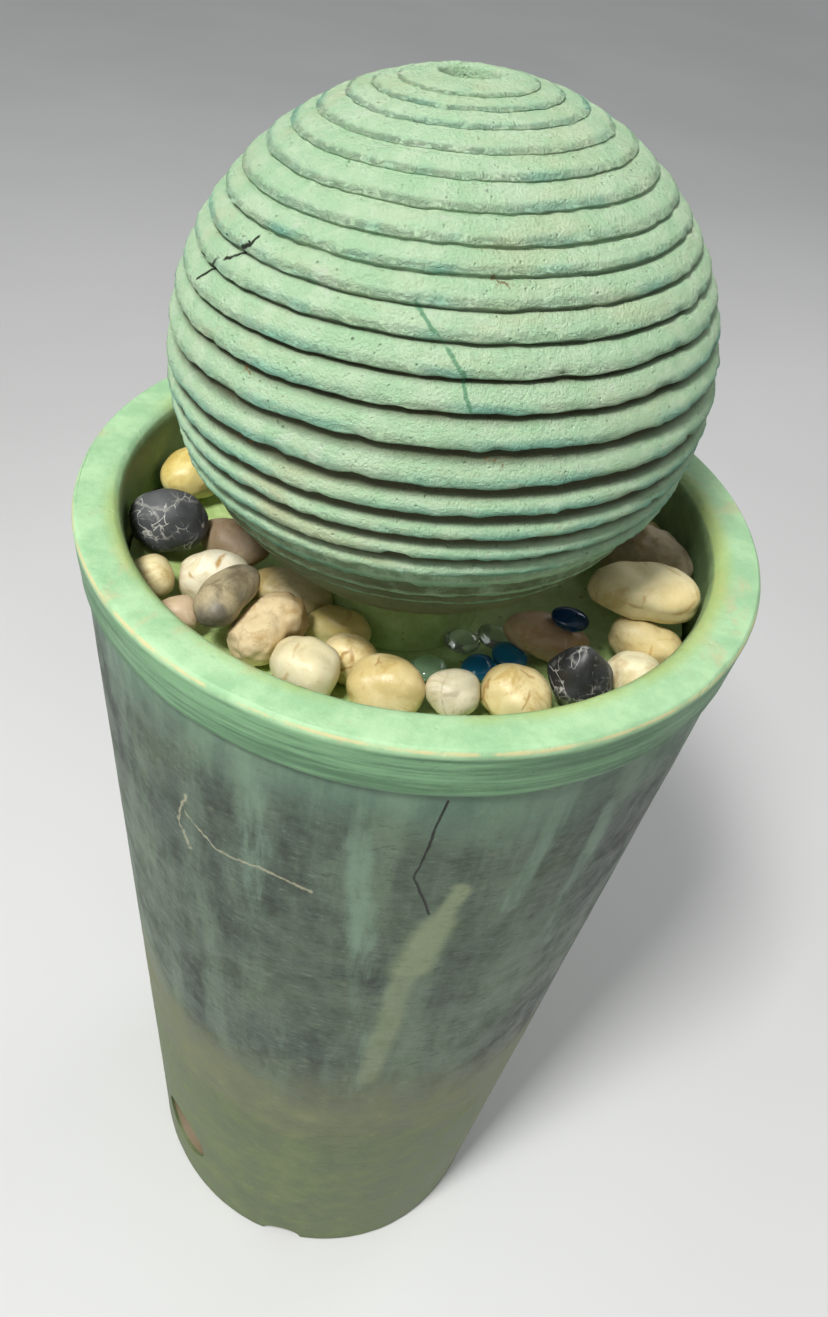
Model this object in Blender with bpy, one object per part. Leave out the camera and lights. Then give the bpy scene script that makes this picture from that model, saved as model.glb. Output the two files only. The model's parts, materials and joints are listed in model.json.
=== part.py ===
"""Ball fountain: a glazed pot with a pebble bed, a ridged overflow ball and the pump below.

Metres, +Z up. The origin is in the middle of the foot, at the floor, and -Y is the front.
"""
import math

import bmesh
import bpy
from mathutils import Euler, Matrix, Vector
from mathutils.bvhtree import BVHTree

MM = 0.001
GAP = 0.3 * MM
# How far a cutter runs on past the face it opens
CUT_REACH = 0.02

# Pot: a tapered shell, open below, with a thick rim and a ledge inside
POT_HEIGHT = 0.630
RIM_RADIUS = 0.175
RIM_INNER_RADIUS = 0.151
RIM_OUTER_ROUND = 0.004
RIM_INNER_ROUND = 0.008
FOOT_RADIUS = 0.134
FOOT_EDGE = 0.003
COLLAR_HEIGHT = 0.031
COLLAR_STEP = 0.0022
COLLAR_RADIUS = 0.1729
POT_WALL = 0.016
LEDGE_Z = 0.548
LEDGE_RADIUS = 0.139
LEDGE_THICKNESS = 0.007
POT_SEGMENTS = 72

CORD_HOLE_BEARING = -135.0
CORD_HOLE_Z = 0.070
CORD_HOLE_RADIUS = 0.025
NOTCH_BEARING = -94.0
NOTCH_RADIUS = 0.0155
NOTCH_SINK = 0.0015

# Reservoir tub, hung by its flange on the ledge
FLANGE_RADIUS = 0.1487
FLANGE_THICKNESS = 0.003
TUB_TOP_RADIUS = 0.136
TUB_BOTTOM_RADIUS = 0.127
TUB_BOTTOM_Z = 0.455
TUB_WALL = 0.003
TUB_FLOOR = 0.004
STOPPER_BEARING = -135.0
STOPPER_DISTANCE = 0.085
STOPPER_RADIUS = 0.011

# Dished stone tray, draining to the middle
TRAY_THICKNESS = 0.006
TRAY_SKIRT = 0.005
TRAY_FLAT_RADIUS = 0.060
TRAY_RISE = 0.024
TRAY_BORE = 0.020
DRAIN_RADIUS = 0.004
DRAIN_RINGS = ((0.0525, 8), (0.067, 12))

# Ridged ball, leaning on its seat
BALL_CENTRE = Vector((-0.0022, 0.0, 0.710))
BALL_RADIUS = 0.126
BALL_HALF_HEIGHT = 0.1238
BALL_SEAT_RADIUS = 0.1225
BALL_INNER_RADIUS = 0.110
BALL_LEAN = 3.5
BALL_LEAN_BEARING = 137.0
BALL_SEGMENTS = 32
MOUTH_RADIUS = 0.0125
MOUTH_LIP_RADIUS = 0.0165
BALL_OPENING_RADIUS = 0.0245
RIDGE_DEPTH = 0.0035
FAINT_DEPTH = 0.0008
# Latitudes of the grooves, from the mouth down; the last three are shallow lines
GROOVES = (80.3, 76.5, 71.5, 66.5, 60.5, 55, 49, 43, 38, 32.5, 27, 21, 15, 8.5, 1.2, -4.7, -10.3, -16)
FAINT_GROOVES = (-21, -27, -32)
SMOOTH_BELOW = -36.0

SEAT_RADIUS = 0.042
SEAT_BORE = 0.031
GASKET_INNER = 0.033
GASKET_OUTER = 0.041
GASKET_THICKNESS = 0.0025
COLLAR_BORE = 0.0105
COLLAR_FLANGE_RADIUS = 0.029
COLLAR_FLANGE = 0.003

TUBE_RADIUS = 0.010
TUBE_BORE = 0.0075
TUBE_BOTTOM_Z = 0.5213
TUBE_BEND_Z = 0.555
TUBE_BEND_REACH = 0.018
TUBE_TOP = 0.100

# Pump, standing on four suction cups; its own origin is on the outlet's axis, at its underside
PUMP_LIFT = 0.008
PUMP_WIDTH = 0.044
PUMP_HEIGHT = 0.040
PUMP_FRONT = -0.0145
PUMP_BACK = 0.040
SHAFT_HEIGHT = 0.020
VOLUTE_RADIUS = 0.015
VOLUTE_BACK = 0.006
WELL_RADIUS = 0.0098
WELL_BACK = 0.034
BUSH_POCKET_RADIUS = 0.0043
BUSH_POCKET_BACK = 0.0365
NOZZLE_RADIUS = 0.008
NOZZLE_BORE = 0.0055
NOZZLE_HEIGHT = 0.012
COVER_DEPTH = 0.018
COVER_WALL = 0.002
SHAFT_RADIUS = 0.0015
BUSH_BORE = 0.0019
ROTOR_RADIUS = 0.0085
HUB_RADIUS = 0.004
BLADE_REACH = 0.0125
BLADE_THICKNESS = 0.0016
EYE_RADIUS = 0.0034
INLET_RADIUS = 0.0032
INLET_DISTANCE = 0.0088
SLOT_WIDTH = 0.0025
SLOT_PITCH = 0.0045
SLOT_MARGIN = 0.006
DIAL_STUB_RADIUS = 0.0028
DIAL_RADIUS = 0.0075
DIAL_THICKNESS = 0.003
DIAL_X = 0.009
DIAL_Z = 0.020
CUP_X = 0.0155
CUP_Y = (-0.007, 0.032)
CUP_RADIUS = 0.0085
CUP_STEM_RADIUS = 0.0026
CUP_STEM_HEIGHT = 0.004
GLAND_RADIUS = 0.006
CORD_BORE = 0.0031

PEBBLE_SUBDIVISIONS = 2
DROP_HEIGHT = 0.600
DROP_STEP = 0.001
DROP_FINE = 0.0002
DRIFT_LIMIT = 0.005

CREAM = (0.70, 0.58, 0.42)
IVORY = (0.78, 0.70, 0.58)
TAN = (0.42, 0.27, 0.16)
BROWN = (0.20, 0.12, 0.07)
GREY = (0.16, 0.15, 0.14)
BLACK = (0.03, 0.03, 0.035)
ROUND = 2.2
BLOCKY = 3.0
POINTED = 1.8
# Pebbles in the order they are laid: x, y, length, width, height (mm), heading (degrees),
# shape (a higher power is squarer) and colour
PEBBLES = (
    (-58, -28, 45, 25, 22, -8, ROUND, CREAM),
    (-29, -45, 36, 22, 24, -3, ROUND, CREAM),
    (77, -35, 44, 26, 22, -8, ROUND, BROWN),
    (-95, -6, 42, 25, 23, -16, ROUND, BROWN),
    (-39, -96, 33, 28, 26, -14, BLOCKY, CREAM),
    (-21, -75, 28, 24, 26, 0, ROUND, CREAM),
    (-4, -97, 37, 30, 30, -7, ROUND, TAN),
    (27, -99, 26, 23, 24, 14, ROUND, GREY),
    (56, -90, 34, 29, 28, 0, ROUND, TAN),
    (88, -78, 31, 31, 34, 14, POINTED, BLACK),
    (117, -66, 27, 25, 22, -16, ROUND, CREAM),
    (-126, -56, 26, 22, 22, -37, ROUND, IVORY),
    (-106, -76, 22, 18, 18, 15, ROUND, CREAM),
    (-100, -44, 38, 30, 30, 15, ROUND, IVORY),
    (-61, -75, 42, 26, 28, 56, BLOCKY, TAN),
    (-129, -15, 40, 34, 36, 16, ROUND, GREY),
    (-128, 37, 46, 32, 30, 49, ROUND, CREAM),
    (128, 13, 52, 36, 42, -36, POINTED, BROWN),
    (122, -44, 36, 22, 24, -17, BLOCKY, IVORY),
    (-81, -76, 42, 24, 22, 64, ROUND, GREY),
    (118, -34, 54, 28, 24, -1, BLOCKY, IVORY),
    (128, 44, 24, 20, 20, -80, ROUND, CREAM),
    (100, 60, 44, 34, 28, 100, ROUND, TAN),
    (62, 78, 38, 28, 24, 130, BLOCKY, CREAM),
    (88, 104, 44, 32, 28, 150, ROUND, GREY),
    (36, 100, 48, 34, 30, 165, ROUND, IVORY),
    (-10, 122, 42, 30, 28, 0, ROUND, TAN),
    (-44, 98, 46, 33, 28, 30, BLOCKY, CREAM),
    (-84, 104, 42, 32, 28, 40, ROUND, GREY),
    (-84, 58, 44, 31, 26, 60, ROUND, TAN),
)
CLEAR = (0.80, 0.88, 0.88)
BLUE = (0.10, 0.30, 0.75)
PALE_GREEN = (0.55, 0.85, 0.70)
DEEP_BLUE = (0.03, 0.10, 0.45)
GEMS = (
    (36, -34, 19, 16, 10, 14, CLEAR),
    (51, -26, 19, 17, 10, -16, CLEAR),
    (60, -45, 20, 17, 10, -50, BLUE),
    (46, -56, 18, 17, 10, 39, BLUE),
    (20, -60, 19, 17, 10, 14, PALE_GREEN),
)
# This one lies on top of the pebbles
TOP_GEM = (86, -37, 19, 15, 10, -17, DEEP_BLUE)


def clear_scene():
    for item in list(bpy.data.objects):
        bpy.data.objects.remove(item, do_unlink=True)


def material(name, colour, roughness, metallic=0.0, transmission=0.0):
    made = bpy.data.materials.new(name)
    made.use_nodes = True
    made.diffuse_color = (*colour, 1.0)
    shader = made.node_tree.nodes["Principled BSDF"]
    shader.inputs["Base Color"].default_value = (*colour, 1.0)
    shader.inputs["Roughness"].default_value = roughness
    shader.inputs["Metallic"].default_value = metallic
    shader.inputs["Transmission Weight"].default_value = transmission
    return made


def place(bm, name, look, parent=None, location=(0.0, 0.0, 0.0), rotation=(0.0, 0.0, 0.0), sharp=35.0):
    """Turn a bmesh into a named node."""
    bmesh.ops.recalc_face_normals(bm, faces=bm.faces)
    mesh = bpy.data.meshes.new(name)
    bm.to_mesh(mesh)
    bm.free()
    for polygon in mesh.polygons:
        polygon.use_smooth = True
    mesh.set_sharp_from_angle(angle=math.radians(sharp))
    node = bpy.data.objects.new(name, mesh)
    bpy.context.scene.collection.objects.link(node)
    node.location = location
    node.rotation_euler = rotation
    node.parent = parent
    if look is not None:
        mesh.materials.append(look)
    return node


def empty(name, location, direction=(0.0, 0.0, 1.0)):
    holder = bpy.data.objects.new(name, None)
    bpy.context.scene.collection.objects.link(holder)
    holder.location = location
    holder.rotation_euler = Vector((0, 0, 1)).rotation_difference(Vector(direction)).to_euler()
    return holder


def lathe(outline, segments):
    """Spin a closed outline of (radius, height) points about Z."""
    bm = bmesh.new()
    points = [bm.verts.new((radius, 0.0, height)) for radius, height in outline]
    edges = [bm.edges.new((points[i - 1], points[i])) for i in range(len(points))]
    bmesh.ops.spin(
        bm, geom=points + edges, axis=(0, 0, 1), cent=(0, 0, 0), steps=segments, angle=math.tau
    )
    bmesh.ops.remove_doubles(bm, verts=bm.verts, dist=1e-6)
    lonely = [edge for edge in bm.edges if not edge.link_faces]
    bmesh.ops.delete(bm, geom=lonely, context="EDGES")
    return bm


def block(low, high, bevel=0.0):
    bm = bmesh.new()
    bmesh.ops.create_cube(bm, size=1.0)
    low, high = Vector(low), Vector(high)
    for vertex in bm.verts:
        for axis in range(3):
            vertex.co[axis] = high[axis] if vertex.co[axis] > 0 else low[axis]
    if bevel:
        bmesh.ops.bevel(
            bm, geom=bm.edges[:], offset=bevel, segments=2, profile=0.5, affect="EDGES", material=-1
        )
    return bm


def facing_y(height, across):
    """Turns Z to +Y, then lifts the result to its height."""
    return Matrix.Translation((across, 0.0, height)) @ Matrix.Rotation(-math.pi / 2, 4, "X")


def along_y(outline, segments, height=SHAFT_HEIGHT, across=0.0):
    """A lathed body about a line parallel to Y, with the outline as (radius, y)."""
    bm = lathe(outline, segments)
    bmesh.ops.transform(bm, matrix=facing_y(height, across), verts=bm.verts)
    return bm


def rod(radius, start, end):
    return ((0.0, start), (radius, start), (radius, end), (0.0, end))


def drill(radius, start, end, segments):
    """A round cutter along Z, twisted so that its corners miss those of the lathed walls."""
    bm = lathe(rod(radius, start, end), segments)
    bmesh.ops.rotate(bm, matrix=Matrix.Rotation(1.0 / segments, 3, "Z"), verts=bm.verts)
    return bm


def drill_along_y(radius, start, end, segments, height, across=0.0):
    bm = drill(radius, start, end, segments)
    bmesh.ops.transform(bm, matrix=facing_y(height, across), verts=bm.verts)
    return bm


def sleeve(outer, inner, start, end):
    return ((inner, start), (outer, start), (outer, end), (inner, end))


def change(node, operation, bm, parent=None, location=(0, 0, 0), rotation=(0, 0, 0)):
    """Add or cut a shape with a live Boolean."""
    tool = place(bm, f"{node.name}_tool_{len(node.modifiers)}", None, parent, location, rotation)
    tool.hide_render = True
    tool.display_type = "WIRE"
    modifier = node.modifiers.new(operation.lower(), "BOOLEAN")
    modifier.operation = operation
    modifier.object = tool
    modifier.solver = "EXACT"


def arc(centre, radius, start, end, steps):
    for step in range(steps + 1):
        angle = math.radians(start + (end - start) * step / steps)
        yield centre[0] + radius * math.cos(angle), centre[1] + radius * math.sin(angle)


def polar(distance, bearing, height=0.0):
    angle = math.radians(bearing)
    return Vector((distance * math.cos(angle), distance * math.sin(angle), height))


def body_radius(height):
    """Outer radius of the pot's tapered body."""
    top = POT_HEIGHT - COLLAR_HEIGHT
    return FOOT_RADIUS + (COLLAR_RADIUS - COLLAR_STEP - FOOT_RADIUS) * height / top


def make_pot():
    collar_z = POT_HEIGHT - COLLAR_HEIGHT
    outer_round = (RIM_RADIUS - RIM_OUTER_ROUND, POT_HEIGHT - RIM_OUTER_ROUND)
    inner_round = (RIM_INNER_RADIUS + RIM_INNER_ROUND, POT_HEIGHT - RIM_INNER_ROUND)
    taper_z = LEDGE_Z - LEDGE_THICKNESS - (body_radius(LEDGE_Z) - POT_WALL - LEDGE_RADIUS)
    outline = [
        (FOOT_RADIUS - POT_WALL + FOOT_EDGE, 0.0),
        (FOOT_RADIUS - FOOT_EDGE, 0.0),
        (FOOT_RADIUS, FOOT_EDGE),
        (body_radius(collar_z), collar_z),
        (COLLAR_RADIUS, collar_z + FOOT_EDGE / 2),
        *arc(outer_round, RIM_OUTER_ROUND, 0, 90, 3),
        *arc(inner_round, RIM_INNER_ROUND, 90, 180, 4),
        (RIM_INNER_RADIUS, LEDGE_Z),
        (LEDGE_RADIUS, LEDGE_Z),
        (LEDGE_RADIUS, LEDGE_Z - LEDGE_THICKNESS),
        (body_radius(taper_z) - POT_WALL, taper_z),
        (FOOT_RADIUS - POT_WALL, FOOT_EDGE),
    ]
    glaze = material("green_glaze", (0.12, 0.17, 0.12), 0.35)
    pot = place(lathe(outline, POT_SEGMENTS), "pot_shell", glaze)
    reach = POT_WALL + 2 * CUT_REACH
    hole = place_on_wall(CORD_HOLE_BEARING, CORD_HOLE_Z)
    change(pot, "DIFFERENCE", drill(CORD_HOLE_RADIUS, -reach, reach, 32), **hole)
    notch = place_on_wall(NOTCH_BEARING, -NOTCH_SINK)
    change(pot, "DIFFERENCE", drill(NOTCH_RADIUS, -reach, reach, 24), **notch)
    return pot


def place_on_wall(bearing, height):
    """Location and rotation of a cutter whose Z axis points out through the pot's wall."""
    location = polar(body_radius(height), bearing, height)
    return {"location": location, "rotation": (0.0, math.pi / 2, math.radians(bearing))}


def make_tub():
    under = LEDGE_Z + GAP
    flange_top = under + FLANGE_THICKNESS
    floor_z = TUB_BOTTOM_Z + TUB_FLOOR
    outline = (
        (0.0, TUB_BOTTOM_Z),
        (TUB_BOTTOM_RADIUS, TUB_BOTTOM_Z),
        (TUB_TOP_RADIUS, under),
        (FLANGE_RADIUS, under),
        (FLANGE_RADIUS, flange_top),
        (TUB_TOP_RADIUS - TUB_WALL, flange_top),
        (TUB_BOTTOM_RADIUS - TUB_WALL, floor_z),
        (0.0, floor_z),
    )
    tub = place(lathe(outline, 48), "reservoir_tub", material("tub_plastic", (0.03, 0.03, 0.032), 0.5))
    hole = polar(STOPPER_DISTANCE, STOPPER_BEARING, TUB_BOTTOM_Z)
    change(tub, "DIFFERENCE", drill(STOPPER_RADIUS, -CUT_REACH, CUT_REACH, 24), location=hole)

    neck = STOPPER_RADIUS - GAP * 1.5
    stopper = (
        (CORD_BORE, -0.006),
        (neck - 0.001, -0.006),
        (neck, 0.0),
        (neck, TUB_FLOOR + GAP),
        (neck + 0.004, TUB_FLOOR + GAP),
        (neck + 0.003, TUB_FLOOR + 0.004),
        (CORD_BORE, TUB_FLOOR + 0.004),
    )
    rubber = material("stopper_rubber", (0.02, 0.02, 0.02), 0.8)
    place(lathe(stopper, 24), "cord_stopper", rubber, location=hole)
    return flange_top


def tray_height(radius, base):
    """Top of the dished tray at a distance from the middle."""
    slope = TRAY_RISE / (FLANGE_RADIUS - TRAY_FLAT_RADIUS)
    return base + TRAY_THICKNESS + 2 * MM + max(0.0, radius - TRAY_FLAT_RADIUS) * slope


def make_tray(base):
    top = tray_height(0.0, base)
    inner_skirt = FLANGE_RADIUS - TRAY_SKIRT
    outline = (
        (TRAY_BORE, top - TRAY_THICKNESS),
        (TRAY_FLAT_RADIUS, top - TRAY_THICKNESS),
        (inner_skirt, tray_height(inner_skirt, base) - TRAY_THICKNESS),
        (inner_skirt, base + GAP),
        (FLANGE_RADIUS, base + GAP),
        (FLANGE_RADIUS, tray_height(FLANGE_RADIUS, base)),
        (TRAY_FLAT_RADIUS, top),
        (TRAY_BORE, top),
    )
    look = material("tray_glaze", (0.10, 0.14, 0.09), 0.6)
    tray = place(lathe(outline, 48), "rock_tray", look)
    for radius, count in DRAIN_RINGS:
        for index in range(count):
            spot = polar(radius, 360.0 * (index + 0.5) / count, top)
            change(tray, "DIFFERENCE", drill(DRAIN_RADIUS, -CUT_REACH, CUT_REACH, 8), location=spot)
    return tray, top


def sphere_under(radius, sphere):
    """Height of a sphere's lower side about the ball's centre."""
    return BALL_CENTRE.z - math.sqrt(sphere * sphere - radius * radius)


def make_seat(tray_top):
    middle = (BALL_CENTRE.x, BALL_CENTRE.y, 0.0)
    cup = BALL_SEAT_RADIUS + 2 * GAP + GASKET_THICKNESS
    outline = (
        (SEAT_BORE, tray_top + GAP),
        (SEAT_RADIUS + 0.003, tray_top + GAP),
        (SEAT_RADIUS, tray_top + 0.006),
        (SEAT_RADIUS, sphere_under(SEAT_RADIUS, cup)),
        (SEAT_BORE, sphere_under(SEAT_BORE, cup)),
    )
    look = material("seat_glaze", (0.10, 0.13, 0.08), 0.6)
    seat = place(lathe(outline, 40), "ball_seat", look, location=middle)
    bottom = BALL_SEAT_RADIUS + GAP + GASKET_THICKNESS
    top = BALL_SEAT_RADIUS + GAP
    ring = (
        (GASKET_INNER, sphere_under(GASKET_INNER, bottom)),
        (GASKET_OUTER, sphere_under(GASKET_OUTER, bottom)),
        (GASKET_OUTER, sphere_under(GASKET_OUTER, top)),
        (GASKET_INNER, sphere_under(GASKET_INNER, top)),
    )
    rubber = material("gasket_rubber", (0.03, 0.03, 0.03), 0.8)
    gasket = place(lathe(ring, 40), "seat_gasket", rubber, location=middle)
    return seat, gasket


def ball_point(latitude, depth):
    angle = math.radians(latitude)
    return (BALL_RADIUS - depth) * math.cos(angle), (BALL_HALF_HEIGHT - depth) * math.sin(angle)


def ball_outline():
    """From the mouth down over the ridges, round the bottom opening and up inside."""
    mouth_z = ball_point(90.0, 0.0)[1] - 0.0006
    yield MOUTH_RADIUS, mouth_z - 0.001
    yield MOUTH_RADIUS + 0.001, mouth_z
    yield MOUTH_LIP_RADIUS, mouth_z
    grooves = [(latitude, RIDGE_DEPTH) for latitude in GROOVES]
    grooves += [(latitude, FAINT_DEPTH) for latitude in FAINT_GROOVES]
    for index, (latitude, depth) in enumerate(grooves):
        following = grooves[index + 1][0] if index + 1 < len(grooves) else SMOOTH_BELOW
        pitch = latitude - following
        faint = depth < RIDGE_DEPTH
        body = RIDGE_DEPTH - FAINT_DEPTH if faint else 0.0
        yield ball_point(latitude, body + depth)
        yield ball_point(latitude - 0.45 * pitch, body)
        if not faint:
            yield ball_point(latitude - 0.90 * pitch, body + 0.0002)
    lowest = -math.degrees(math.acos(BALL_OPENING_RADIUS / BALL_SEAT_RADIUS))
    yield from arc((0, 0), BALL_SEAT_RADIUS, SMOOTH_BELOW - 4, lowest, 6)
    lowest = -math.degrees(math.acos(BALL_OPENING_RADIUS / BALL_INNER_RADIUS))
    highest = math.degrees(math.acos(MOUTH_RADIUS / BALL_INNER_RADIUS))
    yield from arc((0, 0), BALL_INNER_RADIUS, lowest, highest, 12)


def make_ball():
    """The ball and the rubber collar that holds it upright, about the leaning axis."""
    lean = math.radians(BALL_LEAN)
    axis = polar(math.sin(lean), BALL_LEAN_BEARING, math.cos(lean))
    holder = empty("ball_axis", BALL_CENTRE, axis)
    stone = material("mint_cast", (0.50, 0.74, 0.50), 0.85)
    place(lathe(list(ball_outline()), BALL_SEGMENTS), "ridged_ball", stone, holder, sharp=25.0)

    low = -math.sqrt(BALL_SEAT_RADIUS**2 - BALL_OPENING_RADIUS**2)
    flange = -math.sqrt(BALL_INNER_RADIUS**2 - BALL_OPENING_RADIUS**2) + 0.0022
    neck = BALL_OPENING_RADIUS - GAP * 1.4
    outline = (
        (COLLAR_BORE, low + 0.0005),
        (neck, low + 0.0005),
        (neck, flange),
        (COLLAR_FLANGE_RADIUS, flange),
        (COLLAR_FLANGE_RADIUS, flange + COLLAR_FLANGE),
        (COLLAR_BORE, flange + COLLAR_FLANGE),
    )
    rubber = material("collar_rubber", (0.04, 0.04, 0.04), 0.7)
    place(lathe(outline, 40), "tube_collar", rubber, holder)
    return axis


def tube_route(axis, outlet):
    """Straight up from the pump, round one bend, then along the ball's axis."""
    bend = Vector((outlet.x, outlet.y, TUBE_BEND_Z))
    below = bend - Vector((0, 0, TUBE_BEND_REACH))
    above = bend + axis * TUBE_BEND_REACH
    yield Vector((outlet.x, outlet.y, TUBE_BOTTOM_Z))
    steps = 6
    for step in range(steps + 1):
        t = step / steps
        yield below * (1 - t) ** 2 + bend * 2 * t * (1 - t) + above * t**2
    yield BALL_CENTRE + axis * TUBE_TOP


def ring_of(bm, centre, axis, radius, segments):
    turn = Vector((0, 0, 1)).rotation_difference(axis)
    spots = [turn @ polar(radius, 360.0 * i / segments) + centre for i in range(segments)]
    return [bm.verts.new(spot) for spot in spots]


def join_rings(bm, first, second):
    for i in range(len(first)):
        bm.faces.new((first[i - 1], first[i], second[i], second[i - 1]))


def make_riser(axis, outlet):
    """Hollow hose: rings of points go up its outside and come back down its bore."""
    route = list(tube_route(axis, outlet))
    segments = 20
    bm = bmesh.new()
    outer, inner = [], []
    for index, point in enumerate(route):
        before = route[max(index - 1, 0)]
        after = route[min(index + 1, len(route) - 1)]
        heading = (after - before).normalized()
        outer.append(ring_of(bm, point, heading, TUBE_RADIUS, segments))
        inner.append(ring_of(bm, point, heading, TUBE_BORE, segments))
    rings = outer + inner[::-1]
    for index in range(len(rings)):
        join_rings(bm, rings[index - 1], rings[index])
    look = material("clear_hose", (0.70, 0.75, 0.72), 0.25, transmission=0.8)
    return place(bm, "riser_tube", look)


def make_pump(outlet):
    """Everything about the pump, in its own frame: -Y is its front."""
    pump = empty("pump_frame", outlet)
    half = PUMP_WIDTH / 2
    black = material("pump_plastic", (0.018, 0.018, 0.02), 0.4)
    housing = place(
        block((-half, PUMP_FRONT, 0.0), (half, PUMP_BACK, PUMP_HEIGHT), 0.003),
        "pump_housing", black, pump,
    )
    nozzle_top = PUMP_HEIGHT + NOZZLE_HEIGHT
    change(housing, "UNION", lathe(rod(NOZZLE_RADIUS, PUMP_HEIGHT - 0.003, nozzle_top), 24), pump)
    chamber = (
        (0.0, PUMP_FRONT - CUT_REACH),
        (VOLUTE_RADIUS, PUMP_FRONT - CUT_REACH),
        (VOLUTE_RADIUS, VOLUTE_BACK),
        (WELL_RADIUS, VOLUTE_BACK),
        (WELL_RADIUS, WELL_BACK),
        (BUSH_POCKET_RADIUS, WELL_BACK),
        (BUSH_POCKET_RADIUS, BUSH_POCKET_BACK),
        (0.0, BUSH_POCKET_BACK),
    )
    change(housing, "DIFFERENCE", along_y(chamber, 24), pump)
    change(housing, "DIFFERENCE", drill(NOZZLE_BORE, SHAFT_HEIGHT, nozzle_top + CUT_REACH, 16), pump)
    for x in (-CUP_X, CUP_X):
        for y in CUP_Y:
            socket = drill(CUP_STEM_RADIUS + GAP * 1.5, -CUT_REACH, CUP_STEM_HEIGHT + GAP, 12)
            change(housing, "DIFFERENCE", socket, pump, (x, y, 0.0))

    make_rotor(pump)
    make_front_cover(pump)
    make_cups(pump)

    sleeve_top = nozzle_top + 0.002
    adapter = (
        (NOZZLE_RADIUS + GAP, PUMP_HEIGHT + 0.001),
        (NOZZLE_RADIUS + 0.0025, PUMP_HEIGHT + 0.001),
        (NOZZLE_RADIUS + 0.0025, sleeve_top),
        (TUBE_BORE - GAP * 1.2, sleeve_top),
        (TUBE_BORE - GAP * 1.2, sleeve_top + 0.012),
        (TUBE_BORE - 0.0025, sleeve_top + 0.013),
        (TUBE_BORE - 0.0025, nozzle_top + 0.0008),
        (NOZZLE_RADIUS + GAP, nozzle_top + 0.0008),
    )
    place(lathe(adapter, 24), "outlet_adapter", material("adapter_plastic", (0.03, 0.03, 0.03), 0.4), pump)

    start = PUMP_BACK + GAP
    gland = (
        (CORD_BORE, start),
        (GLAND_RADIUS, start),
        (GLAND_RADIUS, start + 0.003),
        (GLAND_RADIUS - 0.001, start + 0.004),
        (GLAND_RADIUS - 0.002, start + 0.012),
        (CORD_BORE, start + 0.012),
    )
    rubber = material("gland_rubber", (0.02, 0.02, 0.02), 0.75)
    place(along_y(gland, 20), "pump_cord_gland", rubber, pump)


def make_rotor(pump):
    """Magnet rotor and impeller on a steel shaft between two bushes, closed by the volute cover."""
    height = (0.0, 0.0, SHAFT_HEIGHT)
    thin = BLADE_THICKNESS / 2
    front, shoulder, back = -0.0095, 0.0035, 0.031
    rotor = place(
        along_y(rod(ROTOR_RADIUS, shoulder, back), 20, 0.0), "impeller",
        material("impeller_white", (0.75, 0.75, 0.72), 0.4), pump, height,
    )
    change(rotor, "UNION", along_y(rod(HUB_RADIUS, front, shoulder + 0.002), 16, 0.0), pump, height)
    for quarter in range(2):
        blades = block((-BLADE_REACH, front + 0.0005, -thin), (BLADE_REACH, shoulder + 0.0005, thin))
        change(rotor, "UNION", blades, pump, height, (0.0, quarter * math.pi / 2, 0.0))
    bore = drill_along_y(BUSH_BORE, front - CUT_REACH, back + CUT_REACH, 12, 0.0)
    change(rotor, "DIFFERENCE", bore, pump, height)

    steel = material("shaft_steel", (0.60, 0.60, 0.62), 0.25, 1.0)
    place(along_y(rod(SHAFT_RADIUS, -0.0135, 0.0355), 12), "impeller_shaft", steel, pump)
    rubber = material("bush_rubber", (0.03, 0.03, 0.03), 0.8)
    rear = sleeve(0.0039, BUSH_BORE, 0.0317, BUSH_POCKET_BACK - GAP)
    place(along_y(rear, 16), "shaft_bush_rear", rubber, pump)
    fore = sleeve(0.0030, BUSH_BORE, -0.0142, -0.0100)
    place(along_y(fore, 16), "shaft_bush_front", rubber, pump)

    plate = place(
        along_y(sleeve(VOLUTE_RADIUS - 2 * GAP, EYE_RADIUS, PUMP_FRONT, PUMP_FRONT + 0.003), 24),
        "volute_cover", material("volute_plastic", (0.02, 0.02, 0.022), 0.45), pump,
    )
    for index in range(4):
        spot = polar(INLET_DISTANCE, 45 + 90 * index)
        height = SHAFT_HEIGHT + spot.y
        inlet = drill_along_y(INLET_RADIUS, PUMP_FRONT - CUT_REACH, front, 12, height, spot.x)
        change(plate, "DIFFERENCE", inlet, pump)


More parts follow.
